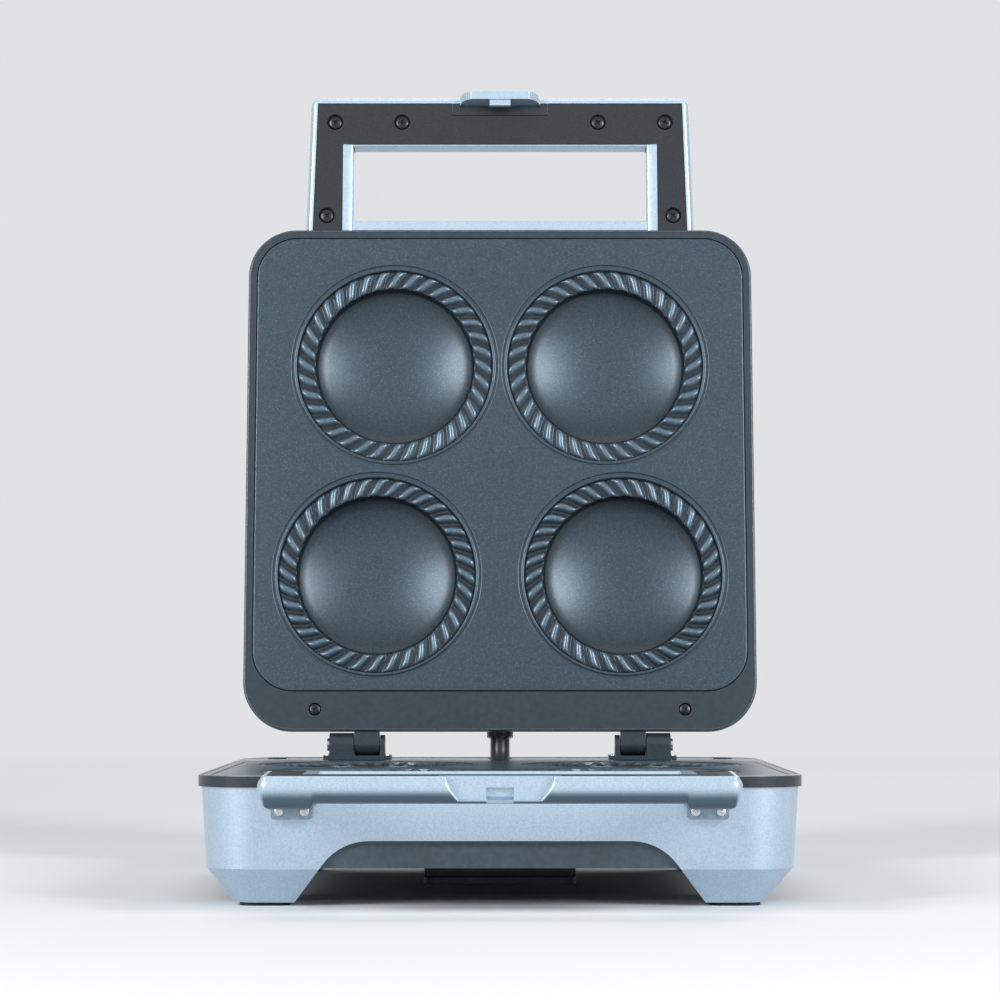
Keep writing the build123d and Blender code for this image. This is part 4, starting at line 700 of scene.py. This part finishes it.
# The handle's skin: every row of the profile carried round all stations, mirrored to the left half, both
# arms' ends closed, and the strip between the roots. On the lower handle the tone is painted shade, slate
# for the bar's dark underside: it rises from 0 to 1 by a smooth step between two heights, but not on the
# arms, in the window or in the latch's recess. On the upper handle it is 1 only on the wall behind the
# latch.
def makeHandle(name, body, stands):
    upper = body == "lid"
    recess = handle["upperRecess" if upper else "lowerRecess"]
    place = places[body]
    stations = handleStations()
    kind, at = stations
    arm = np.isin(kind, ("arm", "turn", "end"))
    floor = np.isin(kind, ("floor", "middle"))
    centre = floor | (kind == "round") | ((kind == "bar") & (at < handle["centreEnd"]))
    edge = floor | ((kind == "round") & (at < 3))
    window = (kind == "middle") & (at <= recess["window"])
    turnFrom, turnOver = handle["toneTurn"]
    shadeAlongBar = np.select([kind == "arm", kind == "turn"], [0, np.clip((at - turnFrom) / turnOver, 0, 1)], 1)
    outsideX, _ = outerLine(0.0, handle["top"], stations, recess, False)
    points, tonesAndPaintedShade = [], []
    for line, inset, height, front, centreInset, centreTone in handleRows(recess):
        tone = np.zeros(len(at))
        if line == "outer":
            x, y = outerLine(inset, height, stations, recess, front)
            if centreInset is not None:
                y = np.where(centre, -handle["reach"] + centreInset, y)
                tone = np.where(centre & upper, centreTone, 0)
            if height >= recess["low"]:
                y = np.where(floor, np.maximum(y, -handle["reach"] + recess["depth"]), y)
            # Painted shade: the bar darkens below a height; the recess's edges and the window stay silver.
            if not upper:
                light = (edge & (height >= recess["low"] - handle["lip"])) | window
                fadeFrom, fadeTo = handle["toneFade"]
                fade = np.clip((fadeFrom - height) / (fadeFrom - fadeTo), 0, 1)
                tone = np.where(light, 0, shadeAlongBar * fade * fade * (3 - 2 * fade))
        elif line == "rim":
            x, y = innerLine(handle["armRim"], handle["barRim"], stations, outsideX)
        else:
            x, y = innerLine(inset, inset, stations, outsideX)
        extraFrom = handle["armExtraFrom"]
        lower = np.clip((extraFrom - height) / (extraFrom - handle["bottom"]), 0, 1)
        z = height - handle["armExtra"] * lower * arm
        y = np.where((kind == "arm") & (at == 0), rootEnd(z, upper), y)
        points.append(np.stack([x, y, z], axis=-1))
        tonesAndPaintedShade.append(tone)
    points, tonesAndPaintedShade = np.array(points), np.array(tonesAndPaintedShade, dtype=float)
    points = np.concatenate([points, points[:, -2::-1] * np.array([-1, 1, 1])], axis=1)
    tonesAndPaintedShade = np.concatenate([tonesAndPaintedShade, tonesAndPaintedShade[:, -2::-1]], axis=1)
    bar = handle["strip"]
    loop = roundedLoop([(bar["front"], bar["low"]), (bar["back"], bar["low"]), (bar["back"], bar["high"]),
                        (bar["front"], bar["high"])], bar["rounds"], bar["steps"])
    strip = np.stack([np.column_stack([np.full(len(loop), x), loop]) for x in (-bar["half"], bar["half"])])
    if upper:
        strip[..., 1] += bar["upperShift"]
        strip[..., 2] = 2 * layout["mirrorHeight"] - strip[..., 2]
        points[..., 2] = 2 * layout["mirrorHeight"] - points[..., 2]
    light = np.zeros((2, len(loop)))
    patches = [patch(place(points), closeRows=True, values=tonesAndPaintedShade)]
    patches.append(patch(place(strip), closeColumns=True, values=light))
    ends = [(points[:, end], tonesAndPaintedShade[:, end]) for end in (0, -1)]
    for end, shade in ends + list(zip(strip, light)):
        cap = np.stack([end, np.broadcast_to(end.mean(axis=0), end.shape)])
        patches.append(patch(place(cap), closeColumns=True, values=np.stack([shade, shade])))
    # The lower handle's finish carries the painted shade.
    finish = made["silverPocket" if upper else "silverGrip"]
    makePiece(name, patches, finish, body, stands, 42, "tone")


makeHandle("lowerHandle", "base", ("lower_handle_shell", "latch_keeper"))
makeHandle("upperHandle", "lid", ("upper_handle_shell",))


# Low beads round the deck's and the lid frame's edges: a half-round profile of (inset, height) pairs carried
# round the outline of a rounded slab, its ends sunk into the face. Their lighter finish is a painted
# highlight: the light line along those edges.
lips = {
    "rows": 7, "power": 0.7, "cornerSteps": 8,
    "deckLip": {"width": 266.0, "depth": 301.0, "corner": 26.5, "front": -1.5, "start": 0.3, "across": 1.2,
                "face": layout["deckTop"], "rise": 0.42, "sunk": 0.3, "finish": "deckTrim"},
    "lidLip": {"width": 264.0, "depth": 265.0, "corner": 25.0, "front": 0.0, "start": 0.2, "across": 0.9,
               "face": layout["lidBottom"], "rise": -0.3, "sunk": -0.3, "finish": "frameTrim"},
}


# Outline of a lip's slab drawn in by some mm.
def slabOutline(look, inset):
    half = look["width"] / 2 - inset
    near, far = look["front"] + inset, look["front"] + look["depth"] - inset
    corners = [(half, near), (half, far), (-half, far), (-half, near)]
    return roundedLoop(corners, [look["corner"] - inset] * 4, lips["cornerSteps"])


# One lip: insets go by a cosine and heights by a sine to a power, which fills the half round out.
def makeLip(name, body):
    look = lips[name]
    share = np.linspace(0, math.pi, lips["rows"])
    insets = look["start"] + look["across"] * (1 - np.cos(share)) / 2
    heights = look["face"] - look["sunk"] + (look["sunk"] + look["rise"]) * np.sin(share) ** lips["power"]
    outlines = [slabOutline(look, inset) for inset in insets]
    rows = [np.column_stack([line, np.full(len(line), height)]) for line, height in zip(outlines, heights)]
    skin = patch(places[body](np.array(rows)), closeRows=True, closeColumns=True)
    makePiece(name, [skin], made[look["finish"]], body, (), 80)


makeLip("deckLip", "base")
makeLip("lidLip", "lid")


# Screws. A head and its shank are rings that go up from the drive's floor, out over the crown, down the side
# and along the shank. Spots are the right half's seats, and the left half has the same.
dark = {"shank": 1.5, "slot": "dark_fastener", "up": (0, 0, 1), "body": "base"}
pale = {"slot": "steel_fastener", "up": (0, 0, 1), "body": "base"}
small = {**dark, "head": 3.0, "height": 2.0, "drive": 1.7, "waist": 0.6, "deep": 1.0}
insert = {**dark, "head": 3.5, "height": 2.0, "drive": 1.9, "waist": 0.65, "deep": 1.1, "length": 7.0}
screws = {
    "lowerInsertScrews": {
        **insert, "stands": ("lower_insert_screws",),
        "spots": ((52.0, -60.0, 57.1), (87.5, -60.0, 57.1), (91.5, -8.8, 57.1)),
    },
    "upperInsertScrews": {
        **insert, "up": (0, 0, -1), "body": "lid", "stands": ("upper_insert_screws",),
        "spots": ((52.0, -60.0, 62.6), (87.5, -60.0, 62.6), (91.5, -8.8, 62.6)),
    },
    "deckFrontScrews": {**small, "length": 12.8, "stands": ("deck_screws",), "spots": ((115, 16, 50.8),)},
    # painted shade: wide dark rubber caps stand for the dark patch at the deck's rear corners
    "deckRearScrews": {
        **dark, "head": 5.0, "height": 0.7, "drive": 2.1, "waist": 0.9, "deep": 0.4, "length": 19.0,
        "finish": "rubber", "stands": ("deck_screws",), "spots": ((115, 282, 57.0),),
    },
    "lidScrews": {
        **small, "length": 9.8, "up": (0, 0, -1), "body": "lid", "stands": ("lid_screws",),
        "spots": ((115, 16, 64.2), (95, 254, 60.3)),
    },
    "lugScrews": {
        **pale, "head": 2.1, "height": 1.1, "drive": 1.1, "waist": 0.45, "deep": 0.6, "shank": 1.2,
        "length": 11.0, "up": (0, -1, 0), "stands": ("bracket_screws",),
        "spots": ((84.6, -4.5, 42.0), (95.6, -4.5, 42.0)),
    },
    "hingeScrews": {
        **small, "length": 7.0, "stands": ("hinge_screws",),
        "spots": ((68.8, 283.5, 59.0), (82.8, 283.5, 59.0)),
    },
    # painted highlight: bright steel rivets stand for the glints at the ends of the hinge brackets' feet
    "footRivets": {
        **pale, "head": 1.3, "height": 0.9, "drive": 0.3, "waist": 0.3, "deep": 0.05, "shank": 0.8,
        "length": 1.5, "stands": (), "spots": ((57.8, 267.2, 59.0), (88.7, 267.2, 59.0)),
    },
}
headShape = {
    "steps": 24, "point": 1,
    "lobe": 6,  # power that narrows the cross's arms
    "crownDrop": 0.12,  # of the height, at the head's edge
    "driveFloor": 0.72,  # the drive's floor, as a share of its mouth
    "crown": ((0.78, 0.93), (0.92, 0.78), (0.985, 0.5), (1.0, 0.3), (1.0, 0.0)),  # shares of (head, height)
    "stopped": (0.37, 1.1),  # radians per mm of X and Y, so that every screw stops at its own angle
}


# A ring of the drive is a cross: its radius swells where the cosine of twice the angle is near 1 or -1.
def screwPatch(seat, look):
    angle = np.linspace(0, 2 * math.pi, headShape["steps"], endpoint=False)
    swell = np.abs(np.cos(2 * angle)) ** headShape["lobe"]
    cross = look["waist"] + (look["drive"] - look["waist"]) * swell
    head, height, shank = look["head"], look["height"], look["shank"]
    edge = height * (1 - headShape["crownDrop"] * (look["drive"] / head) ** 2)
    floor = edge - look["deep"]
    rings = [(0.0, floor), (headShape["driveFloor"] * cross, floor), (cross, edge)]
    rings += [(head * share, height * high) for share, high in headShape["crown"]]
    rings += [(shank, 0.0), (shank, -look["length"] + headShape["point"]), (0.0, -look["length"])]
    perX, perY = headShape["stopped"]
    ring = ringAbout(look["up"], angle + perX * seat[0] + perY * seat[1])
    points = [seat + (radius * ring.T).T + level * np.array(look["up"]) for radius, level in rings]
    return patch(places[look["body"]](points), closeColumns=True)


for name, look in screws.items():
    seats = [(side * x, y, z) for side in (-1, 1) for x, y, z in look["spots"]]
    finish = finishOf(look.get("finish", look["slot"]))
    makePiece(name, [screwPatch(seat, look) for seat in seats], finish, look["body"], look["stands"],
              35)


# Signal lenses: a profile turned about the lens's axis, with a shallow dome for its top.
lens = {
    "side": 15.0, "front": 32.0, "steps": 32,
    "profile": ((0, 94.3), (5.2, 94.3), (5.2, 95.5), (4.0, 95.5), (4.0, 97.9), (3.85, 98.15), (3.4, 98.34),
                (2.6, 98.48), (1.5, 98.57), (0, 98.6)),
}
for name, side, slot, node in (("powerLens", -1, "lens_red", "power_light_lens"),
                               ("readyLens", 1, "lens_green", "ready_light_lens")):
    centre = (side * lens["side"], lens["front"], 0)
    skin = turned(np.array(lens["profile"]), centre, (0, 0, 1), lens["steps"], "lid")
    makePiece(name, [skin], finishOf(slot), "lid", (node,), 30)


# CAD pieces whose edges are broken by a small round: its width in mm.
edges = {
    "widths": {"base_shell": 0.7, "deck_frame": 0.9, "lid_frame": 0.7, "lid_cover": 0.5, "latch_flap": 0.6,
               "upper_handle_insert": 0.5, "lower_handle_insert": 0.5, "hinge_brackets": 0.5,
               "handle_brackets": 0.6, "bottom_cover": 0.6, "cord_wrap_cleats": 0.8, "storage_feet": 0.8},
    "fromAngle": {"base_shell": 28},  # degrees; the crease above its legs is shallow
    "otherAngle": 40,
    "joined": 0.000002,  # metres within which points are one
    "flat": 0.5,  # degrees within which neighbouring faces are one
    "segments": 2, "weight": 100,
}


# The round lies on top of the piece's own mesh: points are joined, flat faces made one, edges sharper than
# an angle rounded, and the shade evened by the faces' size.
def softenEdges(node):
    modifiers = nodes[node].modifiers
    weld = modifiers.new("joined", "WELD")
    weld.merge_threshold = edges["joined"]
    flat = modifiers.new("flatFaces", "DECIMATE")
    flat.decimate_type = "DISSOLVE"
    flat.angle_limit = math.radians(edges["flat"])
    bevel = modifiers.new("brokenEdges", "BEVEL")
    bevel.width = edges["widths"][node] / 1000
    bevel.segments = edges["segments"]
    bevel.limit_method = "ANGLE"
    bevel.angle_limit = math.radians(edges["fromAngle"].get(node, edges["otherAngle"]))
    even = modifiers.new("evenShade", "WEIGHTED_NORMAL")
    even.weight = edges["weight"]
    even.keep_sharp = False


for name in edges["widths"]:
    softenEdges(name)
print("edges broken on", len(edges["widths"]), "nodes")

# CAD pieces that keep their own shape take the finish of their slot, or one of their own.
ownFinishes = {"deck_frame": "deckGloss", "bottom_cover": "panSatin", "handle_brackets": "lugSatin"}
for name, node in nodes.items():
    for slot in node.material_slots:
        kind = slot.material.name.split(".")[0]
        slot.material = made[ownFinishes[name]] if name in ownFinishes else finishOf(kind)
print("finishes given to", len(nodes), "nodes")


# Studio: a pale floor that fades to the pale room far off, and soft lamps above, behind and at both sides.
studio = {
    "floorRings": (0, 0.5, 1, 2, 4, 9),  # metres
    "floorSteps": 64, "floorColour": (0.80, 0.815, 0.83), "floorRoughness": 0.9, "floorSpecular": 0.1,
    "driftLift": 0.01, "driftScale": 3.0,
    "fade": (0.55, 2.6),  # metres from the middle, from the lit floor to the room's colour
    "worldColour": (0.93, 0.95, 0.97), "worldStrength": 0.34, "seenStrength": 0.8,
    "lamps": (  # name, place, target, size, power
        ("overheadLamp", (0, 0.1, 2.4), (0, 0.05, 0.1), (1.8, 1.6), 9),
        ("leftLamp", (-1.6, -1.65, 1.02), (0, 0.1, 0.2), (0.6, 1.0), 42),
        ("rightLamp", (1.6, -1.65, 1.02), (0, 0.1, 0.2), (0.6, 1.0), 42),
        ("backLamp", (0.3, 2.0, 1.2), (0, 0, 0.2), (1.4, 1.0), 10),
    ),
}


# A factor that is 1 for what the camera sees straight, by gloss or through glass: the largest of three.
def seenFactor(tree):
    path = addNode(tree, "ShaderNodeLightPath")
    glossy = addNode(tree, "ShaderNodeMath", operation="MAXIMUM")
    through = addNode(tree, "ShaderNodeMath", operation="MAXIMUM")
    join(tree, path, "Is Camera Ray", glossy, 0)
    join(tree, path, "Is Glossy Ray", glossy, 1)
    join(tree, glossy, 0, through, 0)
    join(tree, path, "Is Transmission Ray", through, 1)
    return through


# Gives a shader the room's colour.
def glow(node, strength):
    return fill(node, {"Color": (*studio["worldColour"], 1), "Strength": strength})


# Ends a tree in a mix of two shaders: the first where the factor is 0, the second where it is 1.
def endInMix(tree, factor, first, second, end):
    either = addNode(tree, "ShaderNodeMixShader")
    join(tree, factor, 0, either, "Fac")
    join(tree, first, 0, either, 1)
    join(tree, second, 0, either, 2)
    join(tree, either, 0, tree.nodes[end], "Surface")


# The floor: rings of points that grow outwards at one height. From far off it shows the room's colour.
def makeFloor():
    material = bpy.data.materials.new("paleFloor")
    material.use_nodes = True
    tree = material.node_tree
    shader = tree.nodes["Principled BSDF"]
    fill(shader, {"Roughness": studio["floorRoughness"], "Specular IOR Level": studio["floorSpecular"]})
    place = addNode(tree, "ShaderNodeTexCoord")
    drift = addNode(tree, "ShaderNodeTexNoise", Scale=studio["driftScale"])
    join(tree, place, "Object", drift, "Vector")
    lighter = [level + studio["driftLift"] for level in studio["floorColour"]]
    join(tree, addShades(tree, drift, (studio["floorColour"], lighter)), "Color", shader, "Base Color")
    away = addNode(tree, "ShaderNodeVectorMath", operation="LENGTH")
    join(tree, place, "Object", away, 0)
    far = addRange(tree, away, "Value", studio["fade"], interpolation_type="SMOOTHSTEP")
    share = addNode(tree, "ShaderNodeMath", operation="MULTIPLY")
    join(tree, far, "Result", share, 0)
    join(tree, seenFactor(tree), 0, share, 1)
    room = glow(addNode(tree, "ShaderNodeEmission"), studio["seenStrength"])
    endInMix(tree, share, shader, room, "Material Output")
    angle = np.linspace(0, 2 * math.pi, studio["floorSteps"], endpoint=False)
    radius = np.array(studio["floorRings"])[:, None]
    points = np.stack([radius * np.cos(angle), radius * np.sin(angle), 0 * radius * angle], axis=-1)
    mesh = bpy.data.meshes.new("studioFloor")
    listed, faces, _ = patch(points, closeColumns=True)
    mesh.from_pydata(listed.tolist(), [], faces.tolist())
    mesh.materials.append(material)
    floor = addObject("studioFloor", mesh)


# Soft lamps, each turned to its target: a tilt from straight down, then a turn about the vertical.
def makeLamps():
    for name, place, target, size, power in studio["lamps"]:
        data = bpy.data.lights.new(name, "AREA")
        data.shape = "RECTANGLE"
        data.size, data.size_y = size
        data.energy = power
        lamp = addObject(name, data)
        lamp.location = place
        x, y, z = np.array(place, dtype=float) - target
        lamp.rotation_euler = (math.atan2(math.hypot(x, y), z), 0, math.atan2(x, -y))


# The room: it lights the machine with one strength and shows with another.
def makeWorld():
    world = bpy.data.worlds.new("paleRoom")
    bpy.context.scene.world = world
    world.use_nodes = True
    tree = world.node_tree
    light = glow(tree.nodes["Background"], studio["worldStrength"])
    seen = glow(addNode(tree, "ShaderNodeBackground"), studio["seenStrength"])
    endInMix(tree, seenFactor(tree), light, seen, "World Output")


view = {"place": (0.0, -1.608, 0.105), "pitch": 2.8, "lens": 122}


# The camera looks along Y, tilted up by the pitch in degrees.
def makeCamera():
    data = bpy.data.cameras.new("frontCamera")
    data.lens = view["lens"]
    camera = addObject("frontCamera", data)
    camera.location = view["place"]
    camera.rotation_euler = (math.radians(90 + view["pitch"]), 0, 0)
    bpy.context.scene.camera = camera


makeFloor()
makeLamps()
makeWorld()
makeCamera()
bpy.context.scene.view_settings.view_transform = "Standard"
print("studio ready")
